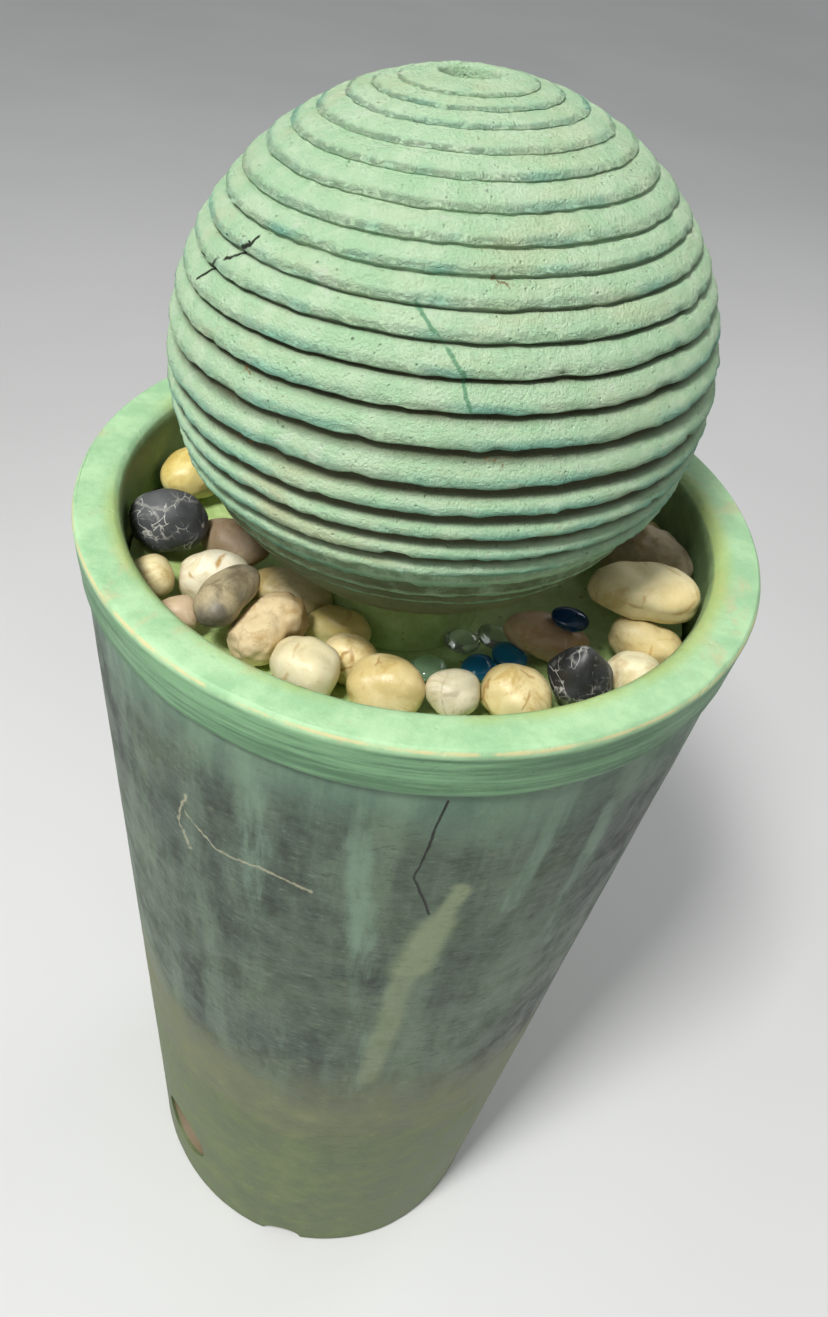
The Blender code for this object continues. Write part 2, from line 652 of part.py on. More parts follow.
def make_front_cover(pump):
    """Slotted cover with the sponge behind it and the flow dial on it."""
    half = PUMP_WIDTH / 2 - 0.0005
    back = PUMP_FRONT - GAP
    front = back - COVER_DEPTH
    low, high = 0.0005, PUMP_HEIGHT - 0.0005
    grey = material("cover_plastic", (0.03, 0.03, 0.033), 0.45)
    cover = place(block((-half, front, low), (half, back, high)), "pump_front_cover", grey, pump)
    inside = block(
        (-half + COVER_WALL, front + COVER_WALL, low + COVER_WALL),
        (half - COVER_WALL, back + CUT_REACH, high - COVER_WALL),
    )
    change(cover, "DIFFERENCE", inside, pump)
    before, behind = front - CUT_REACH, front + 2 * COVER_WALL
    for index in range(4):
        x = SLOT_PITCH * index - 0.01725
        slot = block((x, before, low + SLOT_MARGIN), (x + SLOT_WIDTH, behind, high - SLOT_MARGIN))
        change(cover, "DIFFERENCE", slot, pump)
    stub_hole = drill_along_y(DIAL_STUB_RADIUS + 1.3 * GAP, before, behind, 16, DIAL_Z, DIAL_X)
    change(cover, "DIFFERENCE", stub_hole, pump)

    sponge = block(
        (-half + COVER_WALL + 0.0005, front + COVER_WALL + 0.0005, low + COVER_WALL + 0.0005),
        (half - COVER_WALL - 0.0005, back - 0.0012, high - COVER_WALL - 0.0005),
        0.001,
    )
    place(sponge, "filter_sponge", material("sponge_foam", (0.03, 0.06, 0.09), 0.95), pump)

    face = front - GAP
    dial_outline = (
        (0.0, face - DIAL_THICKNESS),
        (DIAL_RADIUS - 0.001, face - DIAL_THICKNESS),
        (DIAL_RADIUS, face - DIAL_THICKNESS + 0.001),
        (DIAL_RADIUS, face),
        (DIAL_STUB_RADIUS, face),
        (DIAL_STUB_RADIUS, face + COVER_WALL),
        (0.0, face + COVER_WALL),
    )
    spot = (DIAL_X, 0.0, DIAL_Z)
    green = material("dial_plastic", (0.02, 0.16, 0.10), 0.4)
    dial = place(along_y(dial_outline, 20, 0.0), "flow_dial", green, pump, spot)
    pointer_back = face - DIAL_THICKNESS + 0.001
    pointer = block((-0.0008, pointer_back - 0.0025, -0.001), (0.0008, pointer_back, 0.0062))
    change(dial, "UNION", pointer, pump, spot)


def make_cups(pump):
    foot = -PUMP_LIFT + GAP
    outline = (
        (0.0, foot + 0.0030),
        (CUP_RADIUS - 0.002, foot + 0.0010),
        (CUP_RADIUS, foot),
        (CUP_RADIUS, foot + 0.0012),
        (0.0040, foot + 0.0052),
        (0.0040, -GAP),
        (CUP_STEM_RADIUS, -GAP),
        (CUP_STEM_RADIUS, CUP_STEM_HEIGHT),
        (0.0, CUP_STEM_HEIGHT),
    )
    rubber = material("cup_rubber", (0.04, 0.04, 0.045), 0.6)
    number = 1
    for x in (-CUP_X, CUP_X):
        for y in CUP_Y:
            place(lathe(outline, 12), f"suction_cup_{number}", rubber, pump, (x, y, 0.0))
            number += 1


def pebble_mesh(size, phase, power):
    """A worn stone: a rounded block with a few soft lumps, just as long, wide and high as size."""
    bm = bmesh.new()
    bmesh.ops.create_icosphere(bm, subdivisions=PEBBLE_SUBDIVISIONS, radius=1.0)
    for vertex in bm.verts:
        point = vertex.co.normalized()
        spread = sum(abs(part) ** power for part in point) ** (-1.0 / power)
        lump = 1.0 + 0.035 * math.sin(3.1 * point.x + phase) + 0.03 * math.sin(4.3 * point.y + 2 * phase)
        taper = 1.0 + 0.12 * math.sin(phase) * point.x
        vertex.co = Vector((point.x, point.y * taper, point.z)) * spread * lump
    for axis, side in enumerate(size):
        low = min(vertex.co[axis] for vertex in bm.verts)
        high = max(vertex.co[axis] for vertex in bm.verts)
        for vertex in bm.verts:
            vertex.co[axis] = ((vertex.co[axis] - low) / (high - low) - 0.5) * side
    return bm


def tree_of(node, extra=0.0):
    """Search tree of a node's faces where it stands, with its surface pushed out by extra."""
    matrix = Matrix.LocRotScale(node.location, node.rotation_euler, None)
    points = [matrix @ (vertex.co + vertex.normal * extra) for vertex in node.data.vertices]
    faces = [tuple(polygon.vertices) for polygon in node.data.polygons]
    return BVHTree.FromPolygons(points, faces)


def is_clear(stone, bed):
    """Whether a stone, with a thin film all round it, misses everything laid so far."""
    tree = tree_of(stone, GAP)
    return not any(tree.overlap(other) for other in bed)


def settle(stone, bed):
    """Lower a stone on to the bed, letting it slip sideways a little where it is held up."""
    start = stone.location.copy()
    while not is_clear(stone, bed):
        stone.location.z += DROP_STEP
    slips = [Vector((0, 0, 0))] + [polar(DROP_STEP, bearing) for bearing in range(0, 360, 60)]
    moved = True
    while moved:
        moved = False
        here = stone.location.copy()
        for slip in slips:
            drift = (here + slip - start).xy.length
            stone.location = here + slip - Vector((0, 0, DROP_STEP))
            if drift < DRIFT_LIMIT and is_clear(stone, bed):
                moved = True
                break
            stone.location = here
    while is_clear(stone, bed):
        stone.location.z -= DROP_FINE
    stone.location.z += DROP_FINE
    bed.append(tree_of(stone))


def lay_gem(number, row, bed):
    x, y, *size, heading, colour = row
    look = material(f"gem_{number}_glass", colour, 0.05, transmission=0.9)
    bm = pebble_mesh([side * MM for side in size], 0.0, 2.0)
    spot = (x * MM, y * MM, DROP_HEIGHT)
    gem = place(bm, f"glass_gem_{number}", look, None, spot, (0.0, 0.0, math.radians(heading)), 80.0)
    settle(gem, bed)


def lay_pebble(number, row, bed):
    x, y, *size, heading, power, colour = row
    look = material(f"pebble_{number:02d}_stone", colour, 0.6)
    phase = 2.4 * number
    bm = pebble_mesh([side * MM for side in size], phase, power)
    spot = (x * MM, y * MM, DROP_HEIGHT)
    turn = Euler((0.0, math.radians(6 * math.sin(phase)), math.radians(heading)))
    stone = place(bm, f"pebble_{number:02d}", look, None, spot, turn, 80.0)
    settle(stone, bed)


def lay_stones(solids):
    """Glass gems and pebbles, laid one by one into the tray."""
    bed = [tree_of(solid) for solid in solids]
    for number, row in enumerate(GEMS, 1):
        lay_gem(number, row, bed)
    for number, row in enumerate(PEBBLES, 1):
        lay_pebble(number, row, bed)
    lay_gem(len(GEMS) + 1, TOP_GEM, bed)


def main():
    clear_scene()
    pot = make_pot()
    flange_top = make_tub()
    tray, tray_top = make_tray(flange_top)
    seat, gasket = make_seat(tray_top)
    axis = make_ball()
    crossing = BALL_CENTRE + axis * ((TUBE_BEND_Z - BALL_CENTRE.z) / axis.z)
    outlet = Vector((crossing.x, crossing.y, TUB_BOTTOM_Z + TUB_FLOOR + PUMP_LIFT))
    riser = make_riser(axis, outlet)
    make_pump(outlet)
    lay_stones([pot, tray, seat, gasket, riser])


main()
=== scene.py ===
"""Looks of the ball fountain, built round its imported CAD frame."""
import json
import math

import bmesh
import bpy
from mathutils import Matrix, Vector, noise


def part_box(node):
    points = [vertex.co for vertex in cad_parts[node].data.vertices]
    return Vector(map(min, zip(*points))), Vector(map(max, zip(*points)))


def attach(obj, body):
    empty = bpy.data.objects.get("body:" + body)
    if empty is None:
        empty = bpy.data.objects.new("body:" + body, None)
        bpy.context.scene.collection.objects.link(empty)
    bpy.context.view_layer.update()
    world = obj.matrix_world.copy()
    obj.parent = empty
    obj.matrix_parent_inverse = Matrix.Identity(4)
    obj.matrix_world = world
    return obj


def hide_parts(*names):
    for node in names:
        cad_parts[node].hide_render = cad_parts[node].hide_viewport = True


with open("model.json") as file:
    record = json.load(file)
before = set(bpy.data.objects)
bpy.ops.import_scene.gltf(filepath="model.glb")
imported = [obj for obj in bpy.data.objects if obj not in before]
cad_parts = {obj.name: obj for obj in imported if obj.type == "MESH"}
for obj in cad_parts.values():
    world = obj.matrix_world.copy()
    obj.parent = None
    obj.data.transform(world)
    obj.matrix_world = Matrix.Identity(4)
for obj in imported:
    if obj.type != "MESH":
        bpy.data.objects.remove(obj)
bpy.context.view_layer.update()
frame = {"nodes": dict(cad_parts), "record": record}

SHARP = math.radians(40.0)

JOINTS = {joint["name"]: joint for joint in frame["record"]["behaviour"]["joints"]}
BODY_OF = {
    node: body for body, nodes in frame["record"]["behaviour"]["bodies"].items() for node in nodes
}
BALL_CENTRE = Vector(JOINTS["ball_turn"]["pos_m"])
BALL_AXIS = Vector(JOINTS["ball_turn"]["axis"])
POT_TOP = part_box("pot_shell")[1][2]
RIM_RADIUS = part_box("pot_shell")[1][0]

# Pot, repeated from the CAD so that a finer wall can stand in its place
RIM_INNER_RADIUS = 0.151
RIM_INNER_ROUND = 0.008
EDGE_ROUND = 0.004
FOOT_RADIUS = 0.134
BODY_TOP_RADIUS = 0.1707
COLLAR_HEIGHT = 0.031
COLLAR_RADIUS = 0.1729
POT_WALL = 0.016
LEDGE_Z = 0.548
LEDGE_RADIUS = 0.139
LEDGE_THICKNESS = 0.007
CORD_HOLE_BEARING = -135.0
CORD_HOLE_Z = 0.070
CORD_HOLE_RADIUS = 0.025
NOTCH_BEARING = -94.0
NOTCH_RADIUS = 0.0155
NOTCH_SINK = 0.0015

BALL_RADIUS = 0.126
BALL_HALF_HEIGHT = 0.1238
BALL_SEAT_RADIUS = 0.1225
BALL_INNER_RADIUS = 0.110
MOUTH_RADIUS = 0.0125
BALL_OPENING_RADIUS = 0.0245
RIDGE_DEPTH = 0.0044
# Latitudes of the grooves, from the mouth down
GROOVES = (80.3, 76.5, 71.5, 66.5, 60.5, 55, 49, 43, 38, 32.5, 27, 21, 15, 8.5, 1.2, -4.7, -10.3, -16,
           -21, -27, -32)
LAST_DEEP_GROOVE = -16
FAINT_SINK = 0.0024
MOUTH_ROUND = 0.0018
SMOOTH_BELOW = -36.0
# Sines of the latitudes under which the ball is smooth, and under which it lies on its gasket
SMOOTH_FROM = -0.62
SEATED_FROM = -0.86
# One ridge from its groove down: share of the pitch, and depth as a share of the groove's.
# High on the ball the ridges are full and round, low down they shrink to a lip over a wide hollow.
HIGH_RIDGE = (
    (0.00, 1.00), (0.04, 0.86), (0.10, 0.62), (0.20, 0.42), (0.34, 0.25), (0.50, 0.11), (0.66, 0.03),
    (0.80, 0.00), (0.89, 0.03), (0.935, 0.14), (0.955, 0.45), (0.950, 0.80), (0.955, 1.00),
)
LOW_RIDGE = (
    (0.00, 1.00), (0.12, 1.00), (0.26, 0.98), (0.38, 0.88), (0.46, 0.64), (0.53, 0.38), (0.61, 0.16),
    (0.71, 0.04), (0.82, 0.00), (0.90, 0.05), (0.940, 0.22), (0.952, 0.60), (0.955, 1.00),
)


# ---------------------------------------------------------------- mesh tools


def polar(distance, bearing, height=0.0):
    angle = math.radians(bearing)
    return Vector((distance * math.cos(angle), distance * math.sin(angle), height))


def arc(centre, radius, start, end, steps):
    for step in range(steps + 1):
        angle = math.radians(start + (end - start) * step / steps)
        yield centre[0] + radius * math.cos(angle), centre[1] + radius * math.sin(angle)


def between(first, last, steps):
    """Evenly spaced points of a straight stretch, without its last one."""
    for step in range(steps):
        share = step / steps
        yield tuple(a + (b - a) * share for a, b in zip(first, last))


def lathe(outline, segments, labels=()):
    """Spin a closed outline of (radius, height) points about Z; further values become attributes."""
    bm = bmesh.new()
    layers = [bm.verts.layers.float.new(label) for label in labels]
    points = []
    for radius, height, *values in outline:
        point = bm.verts.new((radius, 0.0, height))
        for layer, value in zip(layers, values):
            point[layer] = value
        points.append(point)
    edges = [bm.edges.new((points[i - 1], points[i])) for i in range(len(points))]
    bmesh.ops.spin(
        bm, geom=points + edges, axis=(0, 0, 1), cent=(0, 0, 0), steps=segments, angle=math.tau,
        use_merge=True,
    )
    bmesh.ops.remove_doubles(bm, verts=bm.verts, dist=1e-6)
    bmesh.ops.recalc_face_normals(bm, faces=bm.faces)
    return bm


def new_piece(bm, name, look, body, stands_for=(), sharp=SHARP):
    mesh = bpy.data.meshes.new(name)
    bm.to_mesh(mesh)
    bm.free()
    for polygon in mesh.polygons:
        polygon.use_smooth = True
    mesh.set_sharp_from_angle(angle=sharp)
    mesh.materials.append(look)
    piece = bpy.data.objects.new(name, mesh)
    bpy.context.scene.collection.objects.link(piece)
    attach(piece, body)
    if stands_for:
        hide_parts(*stands_for)
    return piece


def copy_of(node):
    """A CAD node's mesh with its loose triangles merged."""
    bm = bmesh.new()
    bm.from_mesh(frame["nodes"][node].data)
    bmesh.ops.remove_doubles(bm, verts=bm.verts, dist=1e-6)
    return bm


def carve(piece, bm):
    """Cut a shape out of a piece and keep the result as its mesh."""
    mesh = bpy.data.meshes.new("cutter")
    bm.to_mesh(mesh)
    bm.free()
    cutter = bpy.data.objects.new("cutter", mesh)
    bpy.context.scene.collection.objects.link(cutter)
    modifier = piece.modifiers.new("cut", "BOOLEAN")
    modifier.object = cutter
    modifier.solver = "EXACT"
    graph = bpy.context.evaluated_depsgraph_get()
    carved = bpy.data.meshes.new_from_object(piece.evaluated_get(graph))
    piece.modifiers.clear()
    piece.data = carved
    bpy.data.objects.remove(cutter, do_unlink=True)


def smooth_copy(node, levels):
    """A CAD node's mesh after a few rounds of subdivision."""
    mesh = bpy.data.meshes.new(f"{node}_base")
    bm = copy_of(node)
    bm.to_mesh(mesh)
    bm.free()
    base = bpy.data.objects.new(f"{node}_base", mesh)
    bpy.context.scene.collection.objects.link(base)
    modifier = base.modifiers.new("rounding", "SUBSURF")
    modifier.levels = levels
    modifier.render_levels = levels
    graph = bpy.context.evaluated_depsgraph_get()
    rounded = bmesh.new()
    rounded.from_mesh(base.evaluated_get(graph).to_mesh())
    bpy.data.objects.remove(base, do_unlink=True)
    return rounded


# ------------------------------------------------------------ material tools


def add(tree, kind, inputs=None, **settings):
    """A shader node; an input may be a number, a colour or another node's socket."""
    node = tree.nodes.new(kind)
    for key, value in settings.items():
        setattr(node, key, value)
    for key, value in (inputs or {}).items():
        if isinstance(value, bpy.types.NodeSocket):
            tree.links.new(value, node.inputs[key])
        else:
            node.inputs[key].default_value = value
    return node


def calc(tree, operation, first, second=0.0, third=0.0):
    return add(tree, "ShaderNodeMath", {0: first, 1: second, 2: third}, operation=operation).outputs[0]


def vector_calc(tree, operation, first, second=(0.0, 0.0, 0.0)):
    made = add(tree, "ShaderNodeVectorMath", {0: first, 1: second}, operation=operation)
    return made.outputs["Value" if operation in ("DOT_PRODUCT", "LENGTH", "DISTANCE") else "Vector"]


def blend(tree, mask, first, second):
    """The first colour where the mask is 0, and the second where it is 1."""
    return add(tree, "ShaderNodeMix", {0: mask, 6: first, 7: second}, data_type="RGBA").outputs[2]


def tint(tree, mask, strength, base, colour):
    """A colour laid over another where the mask says so, at a part of its full strength."""
    return blend(tree, calc(tree, "MULTIPLY", mask, strength), base, colour)


def ramp(tree, value, low, high, to_low=0.0, to_high=1.0):
    """A value eased from one range to another, and held at its ends."""
    made = add(
        tree, "ShaderNodeMapRange",
        {"Value": value, "From Min": low, "From Max": high, "To Min": to_low, "To Max": to_high},
        interpolation_type="SMOOTHSTEP", clamp=True,
    )
    return made.outputs["Result"]


def place_on(tree, stretch=(1.0, 1.0, 1.0), shift=(0.0, 0.0, 0.0)):
    """Object coordinates, stretched and shifted."""
    where = add(tree, "ShaderNodeTexCoord").outputs["Object"]
    mapped = add(tree, "ShaderNodeMapping", {"Vector": where, "Scale": stretch, "Location": shift})
    return mapped.outputs["Vector"]


def clouds(tree, where, scale, detail=4.0, roughness=0.55, distortion=0.0):
    made = add(tree, "ShaderNodeTexNoise", {
        "Vector": where, "Scale": scale, "Detail": detail, "Roughness": roughness,
        "Distortion": distortion,
    })
    return made.outputs["Fac"]


def cells(tree, where, scale, feature="F1"):
    made = add(tree, "ShaderNodeTexVoronoi", {"Vector": where, "Scale": scale}, feature=feature)
    return made.outputs["Distance"]


def finish_material(name, build):
    """A material whose colour, roughness and height are worked out by a function."""
    made = bpy.data.materials.new(name)
    made.use_nodes = True
    tree = made.node_tree
    shader = tree.nodes["Principled BSDF"]
    result = build(tree)
    for socket in ("Base Color", "Roughness"):
        value = result.get(socket)
        if isinstance(value, bpy.types.NodeSocket):
            tree.links.new(value, shader.inputs[socket])
        elif value is not None:
            shader.inputs[socket].default_value = value
    for socket in ("Metallic", "Transmission Weight", "IOR", "Specular IOR Level"):
        if socket in result:
            shader.inputs[socket].default_value = result[socket]
    if "Height" in result:
        bump = add(tree, "ShaderNodeBump", {
            "Height": result["Height"], "Distance": result.get("Relief", 0.001),
            "Strength": result.get("Strength", 1.0),
        })
        tree.links.new(bump.outputs["Normal"], shader.inputs["Normal"])
    return made


def new_group(name, inputs, outputs):
    tree = bpy.data.node_groups.new(name, "ShaderNodeTree")
    for label, kind in inputs:
        tree.interface.new_socket(label, in_out="INPUT", socket_type=kind)
    for label, kind in outputs:
        tree.interface.new_socket(label, in_out="OUTPUT", socket_type=kind)
    start = tree.nodes.new("NodeGroupInput").outputs
    end = tree.nodes.new("NodeGroupOutput").inputs
    return tree, start, end


def use(tree, group, inputs):
    return add(tree, "ShaderNodeGroup", inputs, node_tree=group).outputs


NUMBER = "NodeSocketFloat"
VECTOR = "NodeSocketVector"


def make_line_group():
    """Mask of a thin straight line between two points."""
    tree, start, end = new_group(
        "line_mark", (("Vector", VECTOR), ("Start", VECTOR), ("End", VECTOR), ("Width", NUMBER)),
        (("Mask", NUMBER),),
    )
    along = vector_calc(tree, "SUBTRACT", start["End"], start["Start"])
    reach = vector_calc(tree, "SUBTRACT", start["Vector"], start["Start"])
    share = calc(
        tree, "DIVIDE", vector_calc(tree, "DOT_PRODUCT", reach, along),
        vector_calc(tree, "DOT_PRODUCT", along, along),
    )
    share = calc(tree, "MINIMUM", calc(tree, "MAXIMUM", share, 0.0), 1.0)
    nearest = add(tree, "ShaderNodeVectorMath", {0: along}, operation="SCALE")
    tree.links.new(share, nearest.inputs["Scale"])
    gap = vector_calc(tree, "DISTANCE", reach, nearest.outputs["Vector"])
    core = calc(tree, "MULTIPLY", start["Width"], 0.35)
    tree.links.new(ramp(tree, gap, core, start["Width"], 1.0, 0.0), end["Mask"])
    return tree


def make_wear_group():
    """Cloudy patches, fine mottle and small specks over any surface."""
    tree, start, end = new_group(
        "weathering", (("Vector", VECTOR), ("Patch Scale", NUMBER), ("Speck Scale", NUMBER)),
        (("Patches", NUMBER), ("Mottle", NUMBER), ("Specks", NUMBER)),
    )
    patches = clouds(tree, start["Vector"], start["Patch Scale"], 5.0, 0.6, 0.4)
    tree.links.new(ramp(tree, patches, 0.42, 0.62), end["Patches"])
    fine = calc(tree, "MULTIPLY", start["Patch Scale"], 5.0)
    tree.links.new(ramp(tree, clouds(tree, start["Vector"], fine, 6.0, 0.7), 0.35, 0.70), end["Mottle"])
    specks = cells(tree, start["Vector"], start["Speck Scale"])
    patchy = ramp(tree, clouds(tree, start["Vector"], fine, 2.0), 0.5, 0.6)
    specks = calc(tree, "MULTIPLY", ramp(tree, specks, 0.10, 0.22, 1.0, 0.0), patchy)
    tree.links.new(specks, end["Specks"])
    return tree


def make_grain_group():
    """Height of a gritty cast or worn surface, with pinholes."""
    tree, start, end = new_group(
        "grit", (("Vector", VECTOR), ("Scale", NUMBER), ("Pits", NUMBER)),
        (("Height", NUMBER), ("Holes", NUMBER)),
    )
    coarse = clouds(tree, start["Vector"], start["Scale"], 8.0, 0.7)
    holes = ramp(tree, cells(tree, start["Vector"], start["Scale"]), 0.05, 0.28, 1.0, 0.0)
    wider = calc(tree, "MULTIPLY", start["Scale"], 0.6)
    chance = ramp(tree, clouds(tree, start["Vector"], wider, 1.0), 0.50, 0.62)
    holes = calc(tree, "MULTIPLY", holes, chance)
    sunk = calc(tree, "MULTIPLY", holes, start["Pits"])
    tree.links.new(calc(tree, "SUBTRACT", coarse, sunk), end["Height"])
    tree.links.new(holes, end["Holes"])
    return tree


LINE = make_line_group()
WEAR = make_wear_group()
GRIT = make_grain_group()


def crack(tree, where, points, width):
    """One mask along a chain of points, wavering a little."""
    mask = 0.0
    for first, last in zip(points, points[1:]):
        line = use(tree, LINE, {"Vector": where, "Start": first, "End": last, "Width": width})
        mask = calc(tree, "MAXIMUM", line["Mask"], mask)
    return mask


def wavering(tree, where, scale, amount):
    """Coordinates shaken by noise, so that straight marks run crooked."""
    shake = add(tree, "ShaderNodeTexNoise", {"Vector": where, "Scale": scale, "Detail": 3.0})
    centred = vector_calc(tree, "SUBTRACT", shake.outputs["Color"], (0.5, 0.5, 0.5))
    moved = vector_calc(tree, "MULTIPLY", centred, (amount, amount, amount))
    return vector_calc(tree, "ADD", where, moved)


# ------------------------------------------------------------------ the ball


# Bearings and latitudes that the cracks pass, and where rust has come through
DARK_CRACK = ((-134.9, 35.4), (-135.3, 33.8), (-143.4, 28.5), (-148.5, 23.0))
SIDE_CRACK = ((-135.3, 33.8), (-140.0, 34.6), (-146.0, 33.0))
GREEN_CRACK = ((-93.6, 32.1), (-89.9, 28.4), (-85.4, 24.3), (-83.1, 20.8), (-81.6, 16.0))
RUST_SPOTS = ((-75.8, 6.4), (-125.9, 13.5), (-75.9, 36.5), (-124.7, 0.4))


def ball_spot(bearing, latitude):
    """A point on the ball by its world bearing and its latitude about the leaning axis."""
    angle = math.radians(latitude)
    turn = Vector((0, 0, 1)).rotation_difference(BALL_AXIS)
    arm = polar(BALL_RADIUS * math.cos(angle), bearing, BALL_RADIUS * math.sin(angle))
    return BALL_CENTRE + turn @ arm


def ball_mark(tree, where, points, width):
    """Mask of a crack along bearings and latitudes on the ball."""
    return crack(tree, where, [ball_spot(*point) for point in points], width)


def mint_cast(tree):
    where = place_on(tree)
    wear = use(tree, WEAR, {"Vector": where, "Patch Scale": 14.0, "Speck Scale": 70.0})
    recess_shade = add(tree, "ShaderNodeAttribute", attribute_name="recess_shade").outputs["Fac"]
    fall = add(tree, "ShaderNodeAttribute", attribute_name="fall").outputs["Fac"]
    parts = add(tree, "ShaderNodeSeparateXYZ", {"Vector": where}).outputs

    # Glaze: mint, bluer and darker towards each ridge's lower edge, partly glaze colour and partly
    # painted shade; streaked, stained on the left, with lime
    mint = blend(tree, wear["Mottle"], (0.54, 0.82, 0.50, 1), (0.71, 0.92, 0.62, 1))
    ridge_foot_turquoise_and_shade = calc(tree, "MULTIPLY", ramp(tree, fall, 0.50, 0.85), wear["Patches"])
    colour = tint(tree, ridge_foot_turquoise_and_shade, 0.8, mint, (0.27, 0.66, 0.49, 1))
    streaks = clouds(tree, place_on(tree, (1, 1, 3.5), (2, 6, 1)), 24.0, 7.0, 0.7, 0.5)
    colour = tint(tree, ramp(tree, streaks, 0.52, 0.66), 0.6, colour, (0.66, 0.84, 0.52, 1))
    spread = clouds(tree, place_on(tree, (1, 1, 2.2), (3, 1, 2)), 9.0, 7.0, 0.7, 0.6)
    left = ramp(tree, parts["X"], 0.06, -0.10, 0.25, 1.0)
    stain = calc(tree, "MULTIPLY", ramp(tree, spread, 0.53, 0.68), left)
    colour = tint(tree, stain, 0.7, colour, (0.74, 0.70, 0.40, 1))
    lime = ramp(tree, clouds(tree, place_on(tree, (1, 1, 1), (7, 2, 5)), 70.0, 6.0, 0.75), 0.56, 0.70)
    colour = tint(tree, lime, 0.5, colour, (0.80, 0.90, 0.70, 1))
    grime = ramp(tree, clouds(tree, place_on(tree, (1, 1, 1), (5, 5, 9)), 120.0, 7.0, 0.8), 0.60, 0.75)
    colour = tint(tree, grime, 0.5, colour, (0.28, 0.36, 0.20, 1))

    # Bare olive casting low on the ball, darkened as painted shade, where only the ridges' edges still
    # hold glaze
    crest = calc(tree, "MULTIPLY_ADD", ramp(tree, fall, 0.50, 0.80), 0.024, parts["Z"])
    low_olive_and_shade = ramp(tree, calc(tree, "MULTIPLY_ADD", wear["Mottle"], 0.014, crest), 0.655, 0.680)
    olive = blend(tree, wear["Patches"], (0.20, 0.225, 0.115, 1), (0.32, 0.35, 0.19, 1))
    colour = blend(tree, low_olive_and_shade, olive, colour)
    # Grooves darkened by the recess value: painted shade under the ridges
    colour = blend(tree, ramp(tree, recess_shade, 0.32, 0.92), colour, (0.105, 0.11, 0.055, 1))

    # Cracks and rust, drawn on the smooth ball under the ridges
    arm = vector_calc(tree, "SUBTRACT", where, tuple(BALL_CENTRE))
    skin = add(tree, "ShaderNodeVectorMath", {0: vector_calc(tree, "NORMALIZE", arm)}, operation="SCALE")
    skin.inputs["Scale"].default_value = BALL_RADIUS
    skin = vector_calc(tree, "ADD", skin.outputs["Vector"], tuple(BALL_CENTRE))
    crooked = wavering(tree, skin, 90.0, 0.006)
    dark = ball_mark(tree, crooked, DARK_CRACK, 0.0011)
    dark = calc(tree, "MAXIMUM", ball_mark(tree, crooked, SIDE_CRACK, 0.0007), dark)
    green = ball_mark(tree, crooked, GREEN_CRACK, 0.0012)
    colour = tint(tree, green, 0.8, colour, (0.13, 0.38, 0.20, 1))
    colour = blend(tree, dark, colour, (0.035, 0.045, 0.025, 1))
    broken = wavering(tree, skin, 260.0, 0.011)
    rust = 0.0
    for bearing, latitude in RUST_SPOTS:
        ends = ((bearing - 1.2, latitude + 0.2), (bearing + 1.4, latitude - 0.2))
        rust = calc(tree, "MAXIMUM", ball_mark(tree, broken, ends, 0.0017), rust)
    colour = tint(tree, rust, 0.75, colour, (0.26, 0.14, 0.04, 1))

    # Sandy surface with pinholes, and chips along the lower edges
    grit = use(tree, GRIT, {"Vector": where, "Scale": 330.0, "Pits": 0.5})
    # Pinholes painted darker: painted shade in the pits
    few = calc(tree, "MULTIPLY", grit["Holes"], ramp(tree, clouds(tree, where, 40.0, 2.0), 0.50, 0.62))
    colour = tint(tree, few, 0.55, colour, (0.16, 0.20, 0.12, 1))
    lip = calc(tree, "MULTIPLY", ramp(tree, fall, 0.60, 0.90), ramp(tree, recess_shade, 0.6, 0.2))
    flakes = clouds(tree, place_on(tree, (1, 1, 1.5), (1, 8, 3)), 170.0, 6.0, 0.75, 0.4)
    chips = ramp(tree, flakes, 0.40, 0.60)
    sand = calc(tree, "MULTIPLY_ADD", clouds(tree, where, 800.0, 4.0, 0.8), 0.8, grit["Height"])
    relief = calc(tree, "SUBTRACT", sand, calc(tree, "MULTIPLY", calc(tree, "MULTIPLY", chips, lip), 0.9))
    relief = calc(tree, "SUBTRACT", relief, calc(tree, "MULTIPLY", dark, 0.8))
    return {"Base Color": colour, "Roughness": 0.86, "Height": relief, "Relief": 0.0027, "Strength": 1.0,
            "Specular IOR Level": 0.25}


def ease(value, low, high):
    """0 at low, 1 at high, and smooth between."""
    share = min(1.0, max(0.0, (value - low) / (high - low)))
    return share * share * (3.0 - 2.0 * share)


